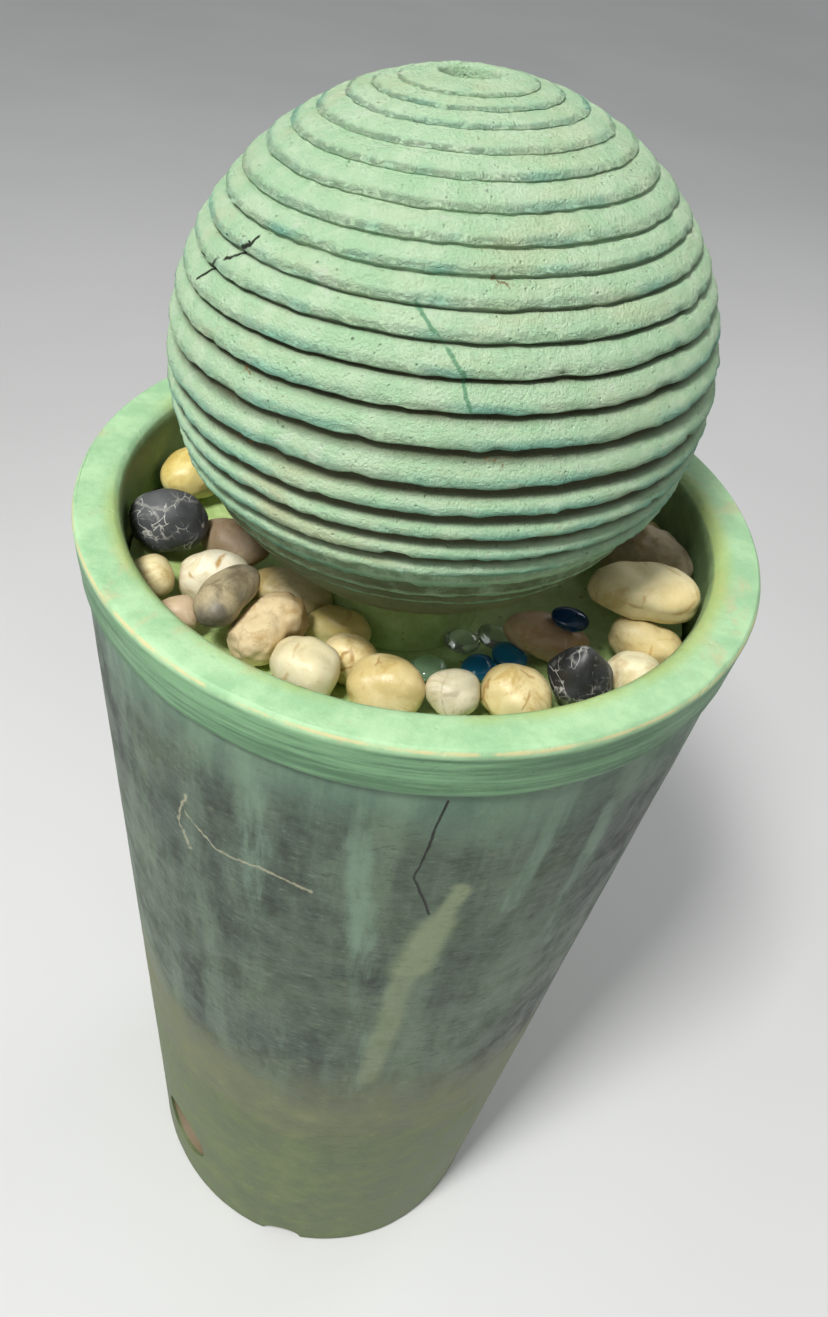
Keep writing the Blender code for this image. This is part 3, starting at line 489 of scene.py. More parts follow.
def ball_outline():
    """Points of the ball's section, each with its painted shade for the grooves and its place down its
    ridge.
    """
    crown = BALL_HALF_HEIGHT - 0.0006
    for radius, height in arc((MOUTH_RADIUS + MOUTH_ROUND, crown - MOUTH_ROUND), MOUTH_ROUND, 180, 90, 4):
        yield radius, height, 0.0, 0.0
    yield MOUTH_RADIUS + 0.0035, crown + 0.0001, 0.0, 0.2
    for index, top in enumerate(GROOVES):
        bottom = GROOVES[index + 1] if index + 1 < len(GROOVES) else SMOOTH_BELOW
        faint = top < LAST_DEEP_GROOVE
        strength = 0.35 + 0.012 * (top + 21) if faint else min(1.0, max(0.16, (76 - top) / 60))
        # Painted shade in each groove, weak near the mouth and full low on the ball
        groove_shade = 0.5 if faint else min(1.0, max(0.10, (60 - top) / 42))
        sunk = FAINT_SINK if faint else 0.0
        hollow = 0.85 * ease(-top, -26.0, 8.0)
        for high, low in zip(HIGH_RIDGE, LOW_RIDGE):
            share = high[0] + (low[0] - high[0]) * hollow
            depth = high[1] + (low[1] - high[1]) * hollow
            angle = math.radians(top + (bottom - top) * share)
            fall = depth * strength * RIDGE_DEPTH + sunk
            radius = (BALL_RADIUS - fall) * math.cos(angle)
            yield radius, (BALL_HALF_HEIGHT - fall) * math.sin(angle), depth * groove_shade, share
    lowest = -math.degrees(math.acos(BALL_OPENING_RADIUS / BALL_SEAT_RADIUS))
    for radius, height in arc((0, 0), BALL_SEAT_RADIUS, SMOOTH_BELOW - 3, lowest, 16):
        yield radius, height, 0.0, 0.0
    lowest = -math.degrees(math.acos(BALL_OPENING_RADIUS / BALL_INNER_RADIUS))
    highest = math.degrees(math.acos(MOUTH_RADIUS / BALL_INNER_RADIUS))
    for radius, height in arc((0, 0), BALL_INNER_RADIUS, lowest, highest, 14):
        yield radius, height, 0.0, 0.0


def make_ball():
    segments = 300
    bm = lathe(list(ball_outline()), segments, ("recess_shade", "fall"))
    recess_shade = bm.verts.layers.float["recess_shade"]
    fall = bm.verts.layers.float["fall"]
    for vertex in bm.verts:
        if vertex.co.length > BALL_INNER_RADIUS + 0.004:
            rough_ball_point(vertex, vertex[recess_shade], vertex[fall])
    turn = Vector((0, 0, 1)).rotation_difference(BALL_AXIS).to_matrix().to_4x4()
    bmesh.ops.transform(bm, matrix=Matrix.Translation(BALL_CENTRE) @ turn, verts=bm.verts)
    look = finish_material("mint_cast", mint_cast)
    new_piece(bm, "cast_ball", look, "ball", ("ridged_ball",), math.radians(60))


def rough_ball_point(vertex, depth, share):
    """Waver the ridges, chip their lower edges and roughen the cast, but leave the seat smooth."""
    place = vertex.co.copy()
    outward = place.normalized()
    low = ease(-outward.z, -0.75, -0.1)
    band = Vector((0.0, 0.0, math.degrees(math.asin(outward.z)) / 6.0))
    around = Vector((outward.x, outward.y, 0.0)) * 1.6
    swell = noise.noise(around * 2.2 + band * 3.7)
    grain = noise.noise(place * 210.0) * 0.35 + noise.noise(place * 480.0) * 0.25
    lift = 0.0005 * swell * (1.0 - depth) + 0.0011 * grain - 0.0005
    edge = max(0.0, 1.0 - abs(share - 0.90) / 0.14)
    chip = max(0.0, noise.noise(place * 95.0 + Vector((5, 1, 9))) - 0.20)
    lift -= (0.0030 + 0.0030 * low) * edge * chip
    slope = Vector((-outward.x * outward.z, -outward.y * outward.z, 1.0 - outward.z**2))
    waver = 0.0008 * noise.noise(around * 3.1 + band * 0.4 + Vector((3, 8, 0)))
    waver += 0.0012 * edge * noise.noise(place * 130.0)
    if outward.z < SMOOTH_FROM:
        lift = min(0.0, 0.4 * lift)
        waver = 0.0
    if outward.z < SEATED_FROM:
        lift = 0.0
    vertex.co = place + outward * min(lift, 0.0002) + slope * waver


# ------------------------------------------------------------------- the pot


def body_radius(height):
    return FOOT_RADIUS + (BODY_TOP_RADIUS - FOOT_RADIUS) * height / (POT_TOP - COLLAR_HEIGHT)


def pot_outline():
    """Points of the pot's section: foot, wall, collar, rim, ledge and back down the inside."""
    collar_z = POT_TOP - COLLAR_HEIGHT
    taper_z = LEDGE_Z - LEDGE_THICKNESS - (body_radius(LEDGE_Z) - POT_WALL - LEDGE_RADIUS)
    foot = (FOOT_RADIUS - EDGE_ROUND, EDGE_ROUND)
    yield FOOT_RADIUS - POT_WALL + 0.003, 0.0
    yield from arc(foot, EDGE_ROUND, -90, 0, 4)
    yield from between((FOOT_RADIUS, 0.006), (body_radius(collar_z - 0.002), collar_z - 0.002), 60)
    yield body_radius(collar_z) - 0.0003, collar_z - 0.0012
    yield COLLAR_RADIUS - 0.0006, collar_z + 0.0004
    yield COLLAR_RADIUS, collar_z + 0.0016
    outer = (RIM_RADIUS - EDGE_ROUND, POT_TOP - EDGE_ROUND)
    yield from between((COLLAR_RADIUS + 0.0001, collar_z + 0.003), (RIM_RADIUS, POT_TOP - EDGE_ROUND), 8)
    yield from arc(outer, EDGE_ROUND, 0, 90, 6)
    inner = (RIM_INNER_RADIUS + RIM_INNER_ROUND, POT_TOP - RIM_INNER_ROUND)
    yield from between((RIM_RADIUS - 0.006, POT_TOP), (RIM_INNER_RADIUS + 0.009, POT_TOP), 6)
    yield from arc(inner, RIM_INNER_ROUND, 90, 180, 8)
    yield from between((RIM_INNER_RADIUS, POT_TOP - 0.010), (RIM_INNER_RADIUS, LEDGE_Z), 10)
    yield RIM_INNER_RADIUS, LEDGE_Z
    yield LEDGE_RADIUS, LEDGE_Z
    yield LEDGE_RADIUS, LEDGE_Z - LEDGE_THICKNESS
    yield body_radius(taper_z) - POT_WALL, taper_z
    inner_top = (body_radius(taper_z) - POT_WALL, taper_z - 0.01)
    yield from between(inner_top, (FOOT_RADIUS - POT_WALL, 0.01), 20)
    yield FOOT_RADIUS - POT_WALL, 0.003


def make_pot():
    segments = 240
    bm = lathe(list(pot_outline()), segments)
    for vertex in bm.verts:
        place = vertex.co
        radius = place.xy.length
        skin = radius > body_radius(place.z) - 0.004 or place.z > POT_TOP - 0.012
        if skin and place.z > 0.001:
            outward = Vector((place.x, place.y, 0.0)).normalized()
            dents = 0.0005 * noise.noise(place * 14.0) + 0.00018 * noise.noise(place * 75.0)
            scar = 0.0012 * max(0.0, noise.noise(place * 42.0 + Vector((9, 2, 4))) - 0.45)
            lift = min(dents - 0.0006 - scar, 0.0)
            if place.z > POT_TOP - 0.0005:
                place.z += 0.7 * lift
            else:
                vertex.co = place + outward * lift
    look = finish_material("green_glaze", green_glaze)
    pot = new_piece(bm, "glazed_pot", look, "base", ("pot_shell",))
    for bearing, height, radius, flare in (
        (CORD_HOLE_BEARING, CORD_HOLE_Z, CORD_HOLE_RADIUS, 0.0015),
        (NOTCH_BEARING, -NOTCH_SINK, NOTCH_RADIUS, 0.001),
    ):
        carve(pot, wall_cutter(bearing, height, radius, flare))


def wall_cutter(bearing, height, radius, flare):
    """A round cutter through the pot's wall, a little wider where it breaks the outer face."""
    surface = body_radius(height)
    outline = (
        (0.0, surface - 0.06), (radius, surface - 0.06), (radius, surface - 0.004),
        (radius + flare * 0.4, surface - 0.0015), (radius + flare * 2, surface + 0.02),
        (0.0, surface + 0.02),
    )
    bm = lathe(outline, 48)
    for vertex in bm.verts:
        vertex.co += vertex.co.normalized() * 0.0004 * noise.noise(vertex.co * 90.0)
    turn = Matrix.Rotation(math.radians(bearing), 4, "Z") @ Matrix.Rotation(math.pi / 2, 4, "Y")
    bmesh.ops.transform(bm, matrix=Matrix.Translation((0, 0, height)) @ turn, verts=bm.verts)
    return bm


def wall_spot(bearing, height):
    return polar(body_radius(height), bearing, height)


def wall_mark(tree, where, points, width):
    """Mask of a mark along bearings and heights on the pot's wall."""
    return crack(tree, where, [wall_spot(*point) for point in points], width)


# Bearings and heights (metres) that marks on the pot's wall pass
WALL_CRACK = ((-78.7, 0.594), (-79.4, 0.565), (-80.4, 0.534), (-76.4, 0.503))
PALE_VEINS = (
    ((-121.0, 0.536), (-123.3, 0.510), (-120.2, 0.492)),
    ((-120.8, 0.521), (-114.3, 0.509), (-106.3, 0.512), (-100.9, 0.512), (-96.5, 0.508)),
)
STREAK_TIP = ((-72.6, 0.523), (-74.4, 0.496))
WIDE_STREAK = ((-74.6, 0.492), (-75.9, 0.468), (-77.0, 0.446))
THIN_STREAK = ((-77.6, 0.436), (-78.2, 0.390), (-79.0, 0.310))
DRIPS = (
    ((-92.0, 0.590), (-88.3, 0.512), (-83.9, 0.414), (-82.6, 0.290)),
    ((-108.0, 0.585), (-105.0, 0.470)),
    ((-50.0, 0.560), (-47.0, 0.440)),
    ((-60.0, 0.590), (-61.0, 0.500)),
    ((70.0, 0.590), (72.0, 0.380)),
    ((130.0, 0.590), (128.0, 0.300)),
)


def green_glaze(tree):
    where = place_on(tree)
    parts = add(tree, "ShaderNodeSeparateXYZ", {"Vector": where}).outputs
    height = parts["Z"]
    flat = add(tree, "ShaderNodeCombineXYZ", {"X": parts["X"], "Y": parts["Y"]}).outputs[0]
    radius = vector_calc(tree, "LENGTH", flat)
    wear = use(tree, WEAR, {"Vector": where, "Patch Scale": 9.0, "Speck Scale": 60.0})
    runs = clouds(tree, place_on(tree, (1, 1, 0.16)), 34.0, 6.0, 0.65)
    strokes = clouds(tree, place_on(tree, (0.25, 0.25, 5.0)), 38.0, 5.0, 0.7)
    ragged = calc(tree, "MULTIPLY_ADD", clouds(tree, where, 16.0, 5.0, 0.65), 0.10, height)

    # Body: dark runs and fine threads, then the pale drips and the long pale streak
    body = blend(tree, ramp(tree, runs, 0.36, 0.66), (0.056, 0.084, 0.062, 1), (0.135, 0.190, 0.130, 1))
    scorch = calc(tree, "MULTIPLY", ramp(tree, runs, 0.60, 0.42), wear["Mottle"])
    body = tint(tree, scorch, 0.6, body, (0.040, 0.038, 0.032, 1))
    body = tint(tree, wear["Patches"], 0.4, body, (0.16, 0.22, 0.13, 1))
    threads = clouds(tree, place_on(tree, (1, 1, 2.6), (3, 3, 3)), 130.0, 8.0, 0.8)
    body = tint(tree, ramp(tree, threads, 0.52, 0.66), 0.6, body, (0.030, 0.036, 0.032, 1))
    body = tint(tree, ramp(tree, threads, 0.46, 0.34), 0.4, body, (0.23, 0.30, 0.24, 1))

    outward = vector_calc(tree, "NORMALIZE", flat)
    turned = add(tree, "ShaderNodeVectorMath", {0: outward}, operation="SCALE")
    slope = (BODY_TOP_RADIUS - FOOT_RADIUS) / (POT_TOP - COLLAR_HEIGHT)
    tree.links.new(calc(tree, "MULTIPLY_ADD", height, slope, FOOT_RADIUS), turned.inputs["Scale"])
    upright = add(tree, "ShaderNodeCombineXYZ", {"Z": height}).outputs[0]
    skin = vector_calc(tree, "ADD", turned.outputs["Vector"], upright)
    crooked = wavering(tree, skin, 18.0, 0.018)
    drips = 0.0
    for points in DRIPS:
        drips = calc(tree, "MAXIMUM", wall_mark(tree, crooked, points, 0.010), drips)
    drips = calc(tree, "MULTIPLY", drips, ramp(tree, runs, 0.40, 0.60))
    body = tint(tree, drips, 0.6, body, (0.22, 0.34, 0.24, 1))
    swerving = wavering(tree, skin, 30.0, 0.012)
    streak = wall_mark(tree, swerving, WIDE_STREAK, 0.0145)
    tip = wall_mark(tree, swerving, STREAK_TIP, 0.0085)
    streak = calc(tree, "MAXIMUM", streak, tip)
    thin = wall_mark(tree, wavering(tree, skin, 20.0, 0.010), THIN_STREAK, 0.010)
    streak = calc(tree, "MAXIMUM", streak, calc(tree, "MULTIPLY", thin, 0.7))
    streak = calc(tree, "MULTIPLY", streak, ramp(tree, threads, 0.72, 0.50, 0.45, 0.85))
    body = blend(tree, streak, body, (0.27, 0.32, 0.18, 1))

    # From the foot up: olive, a sandy band with a ragged edge, the body, a paler top and the collar
    olive = blend(tree, wear["Mottle"], (0.095, 0.130, 0.050, 1), (0.190, 0.235, 0.105, 1))
    sandy = blend(tree, wear["Mottle"], (0.125, 0.145, 0.068, 1), (0.215, 0.235, 0.120, 1))
    colour = blend(tree, ramp(tree, ragged, 0.245, 0.285), olive, sandy)
    colour = blend(tree, ramp(tree, ragged, 0.300, 0.375), colour, body)

    upper = blend(tree, ramp(tree, runs, 0.4, 0.6), (0.12, 0.20, 0.14, 1), (0.17, 0.27, 0.18, 1))
    colour = blend(tree, ramp(tree, ragged, 0.600, 0.655), colour, upper)
    collar = blend(tree, ramp(tree, strokes, 0.36, 0.64), (0.095, 0.20, 0.105, 1), (0.22, 0.42, 0.22, 1))
    colour = blend(tree, ramp(tree, height, 0.5975, 0.5990), colour, collar)

    # Rim, with blush patches, lichen on its inner side, the shaded inner wall and a worn edge
    mint = blend(tree, wear["Mottle"], (0.31, 0.53, 0.29, 1), (0.44, 0.66, 0.38, 1))
    spread = clouds(tree, place_on(tree, (1, 1, 1), (4, 7, 1)), 20.0, 6.0, 0.7, 0.5)
    blush = ramp(tree, spread, 0.54, 0.66)
    mint = tint(tree, blush, 0.7, mint, (0.52, 0.50, 0.28, 1))
    lichen = calc(tree, "MULTIPLY", ramp(tree, radius, 0.163, 0.154), wear["Patches"])
    mint = tint(tree, lichen, 0.7, mint, (0.42, 0.50, 0.14, 1))
    colour = blend(tree, ramp(tree, height, 0.6235, 0.6265), colour, mint)
    shelf = calc(tree, "MULTIPLY", ramp(tree, radius, 0.1525, 0.1512), ramp(tree, height, 0.54, 0.545))
    dim = blend(tree, wear["Mottle"], (0.17, 0.26, 0.12, 1), (0.27, 0.38, 0.17, 1))
    colour = blend(tree, shelf, colour, dim)
    edge = calc(tree, "MULTIPLY", ramp(tree, radius, 0.1732, 0.1739), ramp(tree, height, 0.6266, 0.6276))
    worn = calc(tree, "MULTIPLY", edge, ramp(tree, clouds(tree, where, 60.0, 4.0), 0.35, 0.55))
    colour = tint(tree, worn, 0.85, colour, (0.66, 0.58, 0.30, 1))

    # Bare clay inside, then the crack and the veins
    inside = calc(tree, "SUBTRACT", radius, calc(tree, "MULTIPLY_ADD", height, 0.0614, 0.1322))
    clay = calc(tree, "MULTIPLY", ramp(tree, inside, -0.0008, -0.0018), ramp(tree, height, 0.53, 0.52))
    colour = blend(tree, clay, colour, (0.30, 0.24, 0.15, 1))

    split = wall_mark(tree, wavering(tree, skin, 60.0, 0.003), WALL_CRACK, 0.0008)
    winding = wavering(tree, wavering(tree, skin, 85.0, 0.006), 240.0, 0.0045)
    veins = 0.0
    for points in PALE_VEINS:
        veins = calc(tree, "MAXIMUM", wall_mark(tree, winding, points, 0.0015), veins)
    colour = tint(tree, veins, 0.7, colour, (0.44, 0.42, 0.28, 1))
    colour = blend(tree, split, colour, (0.02, 0.02, 0.015, 1))
    colour = tint(tree, wear["Specks"], 0.12, colour, (0.42, 0.44, 0.30, 1))

    grit = use(tree, GRIT, {"Vector": where, "Scale": 160.0, "Pits": 0.4})
    relief = calc(tree, "MULTIPLY_ADD", strokes, 0.4, grit["Height"])
    relief = calc(tree, "SUBTRACT", relief, calc(tree, "MULTIPLY", split, 1.5))
    gloss = ramp(tree, wear["Mottle"], 0.0, 1.0, 0.42, 0.60)
    return {"Base Color": colour, "Roughness": gloss, "Height": relief, "Relief": 0.0008, "Strength": 0.7,
            "Specular IOR Level": 0.24}


# --------------------------------------------------------------- the stones


def stone(name, base, second, vein, scale, veins, spots, roughness, scratches):
    """A worn pebble: two mottled colours, veins along warped lines, spots and fine pale scratches."""

    def build(tree):
        where = place_on(tree)
        warped = wavering(tree, where, 60.0 * scale, 0.02)
        blotch = clouds(tree, warped, 42.0 * scale, 6.0, 0.6, 0.3)
        colour = blend(tree, ramp(tree, blotch, 0.40, 0.62), (*base, 1), (*second, 1))
        lines = cells(tree, warped, 48.0 * scale, "DISTANCE_TO_EDGE")
        line_mask = calc(tree, "MULTIPLY", ramp(tree, lines, 0.006, 0.040, 1.0, 0.0), veins)
        chance = ramp(tree, clouds(tree, where, 70.0, 2.0), 0.48, 0.60)
        line_mask = calc(tree, "MULTIPLY", line_mask, chance)
        colour = blend(tree, line_mask, colour, (*vein, 1))
        wear = use(tree, WEAR, {"Vector": where, "Patch Scale": 90.0 * scale, "Speck Scale": 420.0})
        colour = tint(tree, wear["Specks"], spots, colour, (*vein, 1))
        colour = tint(tree, wear["Mottle"], 0.16, colour, (*second, 1))
        depths = clouds(tree, place_on(tree, (1, 1, 1), (4, 9, 2)), 65.0 * scale, 7.0, 0.7, 0.8)
        deep = ramp(tree, depths, 0.50, 0.66)
        shade = tuple(channel * share for channel, share in zip(base, (0.80, 0.70, 0.50)))
        colour = tint(tree, deep, 0.80, colour, (*shade, 1))
        if scratches:
            colour = blend(tree, scratch_mask(tree, scratches), colour, (*vein, 1))
        grit = use(tree, GRIT, {"Vector": where, "Scale": 600.0, "Pits": 0.5})
        shine = ramp(tree, blotch, 0.3, 0.7, roughness - 0.08, roughness + 0.10)
        return {"Base Color": colour, "Roughness": shine, "Height": grit["Height"], "Relief": 0.0004,
                "Strength": 0.5, "Specular IOR Level": 0.45}

    return finish_material(name, build)


def scratch_mask(tree, amount):
    """Fine crossing scratches: thin edges of long cells, laid in two directions."""
    mask = 0.0
    for stretch, shift in (((1.0, 0.35, 1.0), (2, 0, 5)), ((0.45, 1.0, 0.6), (7, 3, 1))):
        where = wavering(tree, place_on(tree, stretch, shift), 90.0, 0.010)
        edges = cells(tree, where, 190.0, "DISTANCE_TO_EDGE")
        thin = ramp(tree, edges, 0.008, 0.045, 1.0, 0.0)
        chance = ramp(tree, clouds(tree, where, 85.0, 3.0), 0.50, 0.62)
        mask = calc(tree, "MAXIMUM", calc(tree, "MULTIPLY", thin, chance), mask)
    return calc(tree, "MULTIPLY", mask, amount)


# Colours of veins and scratches
RUST = (0.50, 0.30, 0.09)
UMBER = (0.26, 0.16, 0.07)
CHALK = (0.62, 0.60, 0.54)
# Each kind of stone: its two mottled colours and its veins' colour, then the pattern's scale,
# how strong its veins and its spots are, its roughness, and how scratched it is
STONE_KINDS = {
    "cream": ((0.66, 0.53, 0.25), (0.82, 0.71, 0.40), RUST, 0.7, 0.7, 0.4, 0.42, 0),
    "butter": ((0.76, 0.61, 0.20), (0.85, 0.75, 0.35), RUST, 0.6, 0.5, 0.3, 0.36, 0),
    "ivory": ((0.76, 0.67, 0.40), (0.86, 0.80, 0.55), RUST, 0.5, 0.6, 0.3, 0.42, 0),
    "milky": ((0.56, 0.51, 0.34), (0.70, 0.63, 0.44), (0.42, 0.36, 0.24), 0.7, 0.7, 0, 0.42, 0),
    "golden": ((0.64, 0.50, 0.21), (0.81, 0.68, 0.36), (0.44, 0.27, 0.09), 0.75, 1, 0.35, 0.36, 0),
    "knotted": ((0.80, 0.73, 0.48), (0.86, 0.80, 0.60), RUST, 0.45, 1, 0.3, 0.4, 0),
    "tan": ((0.50, 0.34, 0.20), (0.62, 0.47, 0.30), (0.74, 0.62, 0.46), 0.7, 0.5, 0.2, 0.42, 0),
    "ochre": ((0.58, 0.43, 0.22), (0.72, 0.58, 0.34), UMBER, 0.9, 0.25, 0.7, 0.7, 0),
    "rock": ((0.36, 0.29, 0.18), (0.48, 0.40, 0.27), UMBER, 1.3, 0.4, 0.8, 0.78, 0),
    "brown": ((0.24, 0.17, 0.10), (0.34, 0.26, 0.16), UMBER, 1, 0.4, 0.4, 0.6, 0),
    "banded": ((0.14, 0.125, 0.09), (0.46, 0.38, 0.22), (0.30, 0.25, 0.16), 0.55, 0.5, 0.3, 0.5, 0),
    "slate": ((0.05, 0.054, 0.056), (0.095, 0.10, 0.10), CHALK, 0.55, 0.3, 0.2, 0.55, 0.75),
    "black": ((0.022, 0.023, 0.024), (0.046, 0.048, 0.05), CHALK, 0.8, 0.25, 0.2, 0.5, 0.55),
}
# Finish of each pebble, in the order of their numbers
PEBBLE_LOOKS = (
    "cream", "butter", "tan", "brown", "ivory", "golden", "golden", "milky", "golden", "black",
    "ivory", "cream", "tan", "knotted", "ochre", "slate", "butter", "rock", "cream", "banded",
    "cream", "cream", "tan", "cream", "banded", "ivory", "golden", "cream", "slate", "butter",
)
ROUGH_LOOKS = ("ochre", "rock")
PEAKED_STONE = 10
# Smoothing draws a faceted stone or gem in, so the finer one is made a little larger
STONE_SWELL = 1.07
GEM_SWELL = 1.08


def peaked(arm, size):
    """A point of a stone whose upper half narrows to a blunt tip."""
    rise = max(0.0, arm.z / (0.5 * size))
    narrow = 1.0 - 0.42 * rise
    return Vector((arm.x * narrow, arm.y * narrow, arm.z * (1.0 + 0.10 * rise)))


def make_pebbles():
    finishes = {kind: stone(f"{kind}_stone", *values) for kind, values in STONE_KINDS.items()}
    for number, look in enumerate(PEBBLE_LOOKS, 1):
        node = f"pebble_{number:02d}"
        bm = smooth_copy(node, 3)
        low, high = (Vector(corner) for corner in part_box(node))
        centre = (low + high) / 2
        size = max(high - low)
        rough = 1.0 if look in ROUGH_LOOKS else 0.15
        seed = Vector((number, 2 * number, 0))
        for vertex in bm.verts:
            arm = (vertex.co - centre) * STONE_SWELL
            if number == PEAKED_STONE:
                arm = peaked(arm, size)
            bend = 0.07 * size * noise.noise(arm * 42.0 + seed)
            dent = 0.0011 * noise.noise(arm * 100.0 + seed)
            dent += 0.0009 * rough * noise.noise(arm * 230.0 + seed)
            vertex.co = centre + arm + arm.normalized() * (bend + dent - 0.0002)
        new_piece(bm, f"stone_{number:02d}", finishes[look], "base", (node,), math.radians(80))


def glass(name, colour, body):
    def build(tree):
        where = place_on(tree)
        ripple = clouds(tree, where, 120.0, 2.0)
        return {"Base Color": (*colour, 1), "Roughness": 0.04, "Transmission Weight": body, "IOR": 1.5,
                "Height": ripple, "Relief": 0.0004, "Strength": 0.4}

    return finish_material(name, build)


def make_gems():
    clear = glass("clear_gem_glass", (0.88, 0.95, 0.86), 0.90)
    blue = glass("blue_gem_glass", (0.03, 0.34, 0.62), 0.60)
    pale = glass("pale_green_gem_glass", (0.66, 0.92, 0.66), 0.75)
    deep = glass("deep_blue_gem_glass", (0.015, 0.07, 0.20), 0.60)
    for number, look in enumerate((clear, clear, blue, blue, pale, deep), 1):
        node = f"glass_gem_{number}"
        bm = smooth_copy(node, 3)
        low, high = (Vector(corner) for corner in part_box(node))
        centre = (low + high) / 2
        for vertex in bm.verts:
            vertex.co = centre + (vertex.co - centre) * GEM_SWELL
        new_piece(bm, f"gem_{number}", look, "base", (node,), math.radians(80))


# ----------------------------------------------------------- tray and workings


def damp_glaze(tree):
    where = place_on(tree)
    wear = use(tree, WEAR, {"Vector": where, "Patch Scale": 22.0, "Speck Scale": 130.0})
    colour = blend(tree, wear["Mottle"], (0.38, 0.54, 0.18, 1), (0.54, 0.70, 0.30, 1))
    colour = tint(tree, wear["Patches"], 0.4, colour, (0.30, 0.36, 0.12, 1))
    colour = tint(tree, wear["Specks"], 0.6, colour, (0.14, 0.12, 0.06, 1))
    grit = use(tree, GRIT, {"Vector": where, "Scale": 260.0, "Pits": 0.5})
    return {"Base Color": colour, "Roughness": 0.5, "Height": grit["Height"], "Relief": 0.0006,
            "Strength": 0.6}


def moulded(name, colour, roughness, metallic=0.0, relief=0.00015, scale=900.0):
    """Moulded plastic, rubber or turned metal, with faint handling marks."""

    def build(tree):
        where = place_on(tree)
        wear = use(tree, WEAR, {"Vector": where, "Patch Scale": 45.0, "Speck Scale": 300.0})
        lighter = tuple(min(1.0, channel * 1.35 + 0.006) for channel in colour)
        tone = tint(tree, wear["Patches"], 0.6, (*colour, 1), (*lighter, 1))
        shine = ramp(tree, wear["Mottle"], 0.0, 1.0, roughness - 0.05, min(1.0, roughness + 0.10))
        grit = use(tree, GRIT, {"Vector": where, "Scale": scale, "Pits": 0.2})
        return {"Base Color": tone, "Roughness": shine, "Metallic": metallic, "Height": grit["Height"],
                "Relief": relief, "Strength": 0.5}

    return finish_material(name, build)


def clear_hose(tree):
    where = place_on(tree)
    film = clouds(tree, where, 40.0, 4.0)
    return {"Base Color": (0.80, 0.86, 0.80, 1), "Roughness": ramp(tree, film, 0.3, 0.7, 0.12, 0.30),
            "Transmission Weight": 0.75, "IOR": 1.45}


def foam(tree):
    where = place_on(tree)
    pores = cells(tree, where, 900.0)
    # Pores painted darker: painted shade in the foam's holes
    colour = blend(tree, ramp(tree, pores, 0.1, 0.6), (0.010, 0.016, 0.022, 1), (0.05, 0.08, 0.11, 1))
    return {"Base Color": colour, "Roughness": 0.95, "Height": pores, "Relief": 0.0010, "Strength": 0.9}


def refined(node, look, round_edge=0.0003):
    """A CAD node's own shape with merged faces, softened edges and smooth round walls."""
    bm = copy_of(node)
    bmesh.ops.dissolve_limit(bm, angle_limit=math.radians(1.0), verts=bm.verts, edges=bm.edges)
    corners = [
        edge for edge in bm.edges
        if len(edge.link_faces) == 2 and edge.calc_face_angle(0.0) > math.radians(55)
    ]
    if round_edge and corners:
        bmesh.ops.bevel(
            bm, geom=corners, offset=round_edge, segments=2, profile=0.5, affect="EDGES",
            clamp_overlap=True, material=-1,
        )
    bmesh.ops.triangulate(bm, faces=[face for face in bm.faces if len(face.verts) > 4])
    new_piece(bm, f"{node}_finished", look, BODY_OF[node], (node,))


def make_workings():
    glaze = finish_material("damp_glaze", damp_glaze)
    rubber = moulded("black_rubber", (0.018, 0.018, 0.019), 0.72, relief=0.0003)
    pump_plastic = moulded("pump_plastic", (0.016, 0.017, 0.019), 0.38)
    cover_plastic = moulded("cover_plastic", (0.028, 0.029, 0.032), 0.45)
    tub_plastic = moulded("tub_plastic", (0.022, 0.023, 0.024), 0.52, relief=0.0004, scale=300.0)
    white_plastic = moulded("impeller_white", (0.66, 0.66, 0.62), 0.42)
    dial_plastic = moulded("dial_plastic", (0.02, 0.20, 0.12), 0.38)
    steel = moulded("shaft_steel", (0.60, 0.60, 0.62), 0.22, 1.0)
    looks = {
        "rock_tray": glaze, "ball_seat": glaze, "reservoir_tub": tub_plastic, "seat_gasket": rubber,
        "tube_collar": rubber, "cord_stopper": rubber, "pump_cord_gland": rubber,
        "shaft_bush_rear": rubber, "shaft_bush_front": rubber, "outlet_adapter": pump_plastic,
        "pump_housing": pump_plastic, "volute_cover": pump_plastic, "pump_front_cover": cover_plastic,
        "flow_dial": dial_plastic, "impeller": white_plastic, "impeller_shaft": steel,
        "filter_sponge": finish_material("sponge_foam", foam),
        "riser_tube": finish_material("clear_hose", clear_hose),
    }
    looks.update({f"suction_cup_{number}": rubber for number in range(1, 5)})
    for node, look in looks.items():
        refined(node, look, 0.0 if node == "riser_tube" else 0.0003)


# ---------------------------------------------------------- studio and camera


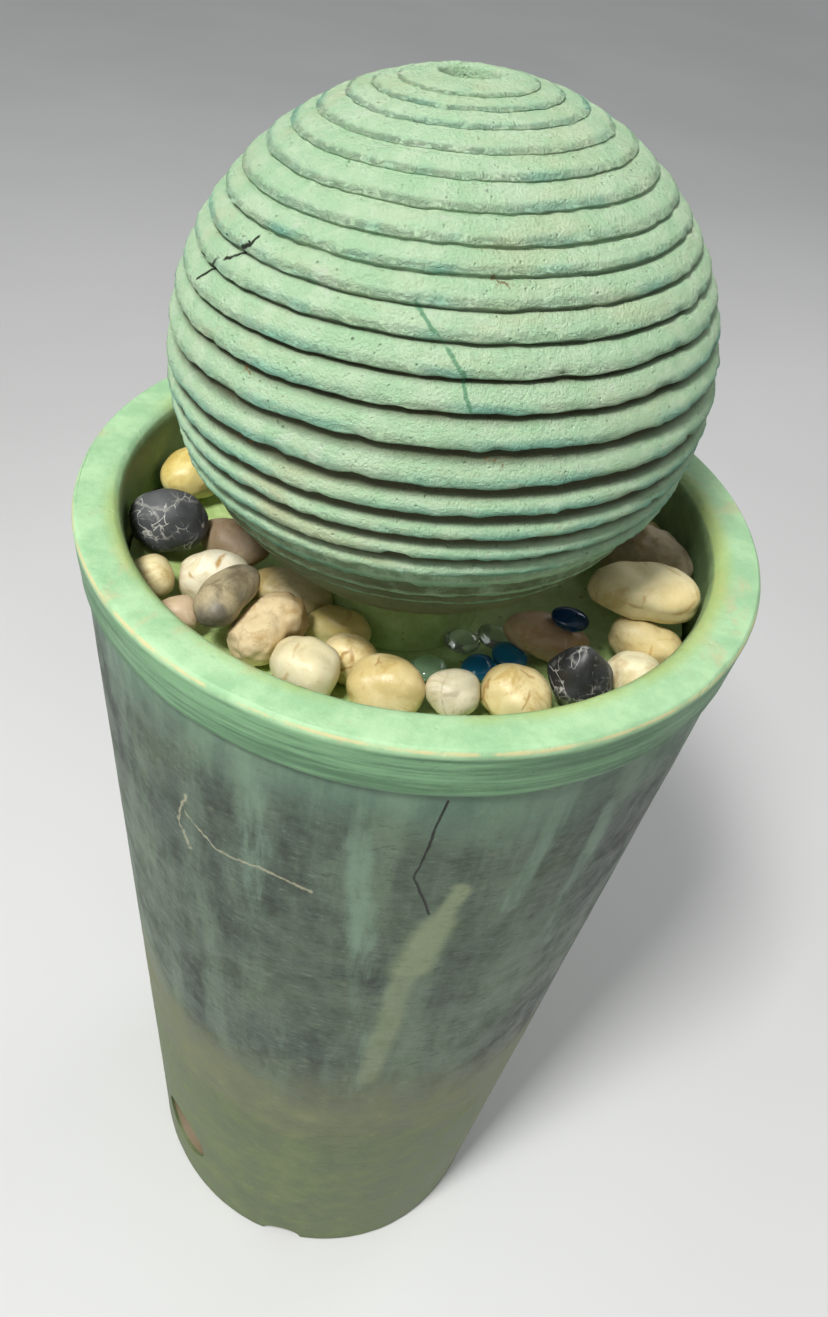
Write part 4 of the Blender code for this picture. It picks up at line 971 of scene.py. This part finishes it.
def make_studio():
    bm = bmesh.new()
    bmesh.ops.create_grid(bm, x_segments=1, y_segments=1, size=6.0)
    mesh = bpy.data.meshes.new("floor")
    bm.to_mesh(mesh)
    bm.free()

    def pale_floor(tree):
        drift = clouds(tree, place_on(tree), 1.5, 2.0)
        colour = blend(tree, ramp(tree, drift, 0.3, 0.7), (0.77, 0.77, 0.75, 1), (0.81, 0.81, 0.79, 1))
        return {"Base Color": colour, "Roughness": 0.8}

    mesh.materials.append(finish_material("pale_floor", pale_floor))
    floor = bpy.data.objects.new("floor", mesh)
    bpy.context.scene.collection.objects.link(floor)

    world = bpy.data.worlds.new("studio")
    world.use_nodes = True
    world.node_tree.nodes["Background"].inputs["Color"].default_value = (0.95, 0.97, 1.0, 1)
    world.node_tree.nodes["Background"].inputs["Strength"].default_value = 0.33
    bpy.context.scene.world = world
    for name, spot, size, power in (
        ("key", (-0.50, -0.90, 2.30), 0.35, 44.0),
        ("fill", (-1.6, -1.6, 1.2), 1.2, 6.0),
        ("rim", (1.3, 1.4, 1.6), 0.9, 6.0),
    ):
        lamp = bpy.data.lights.new(name, "AREA")
        lamp.energy = power
        lamp.size = size
        holder = bpy.data.objects.new(name, lamp)
        bpy.context.scene.collection.objects.link(holder)
        holder.location = spot
        aim = Vector((0, 0, 0.45)) - Vector(spot)
        holder.rotation_euler = aim.to_track_quat("-Z", "Y").to_euler()


def make_camera():
    """Standing in front, above the ball's crown, and looking down into the bowl."""
    spot = Vector((0.0, -0.4604, 0.9453))
    heading, tilt, roll = -0.0846, 0.6871, 0.114
    forward = Vector((
        math.sin(heading) * math.cos(tilt), math.cos(heading) * math.cos(tilt), -math.sin(tilt)
    ))
    level = Vector((math.cos(heading), -math.sin(heading), 0.0))
    upright = level.cross(forward)
    right = level * math.cos(roll) + upright * math.sin(roll)
    top = upright * math.cos(roll) - level * math.sin(roll)
    camera = bpy.data.cameras.new("camera")
    camera.sensor_width = 36.0
    camera.lens = 29.38
    camera.shift_x = 0.0617
    camera.shift_y = -0.0627
    camera.clip_start = 0.01
    holder = bpy.data.objects.new("camera", camera)
    bpy.context.scene.collection.objects.link(holder)
    turn = Matrix((right, top, -forward)).transposed().to_4x4()
    holder.matrix_world = Matrix.Translation(spot) @ turn
    bpy.context.scene.camera = holder


make_camera()
make_studio()
make_pot()
make_ball()
make_pebbles()
make_gems()
make_workings()
bpy.context.scene.view_settings.view_transform = "Standard"
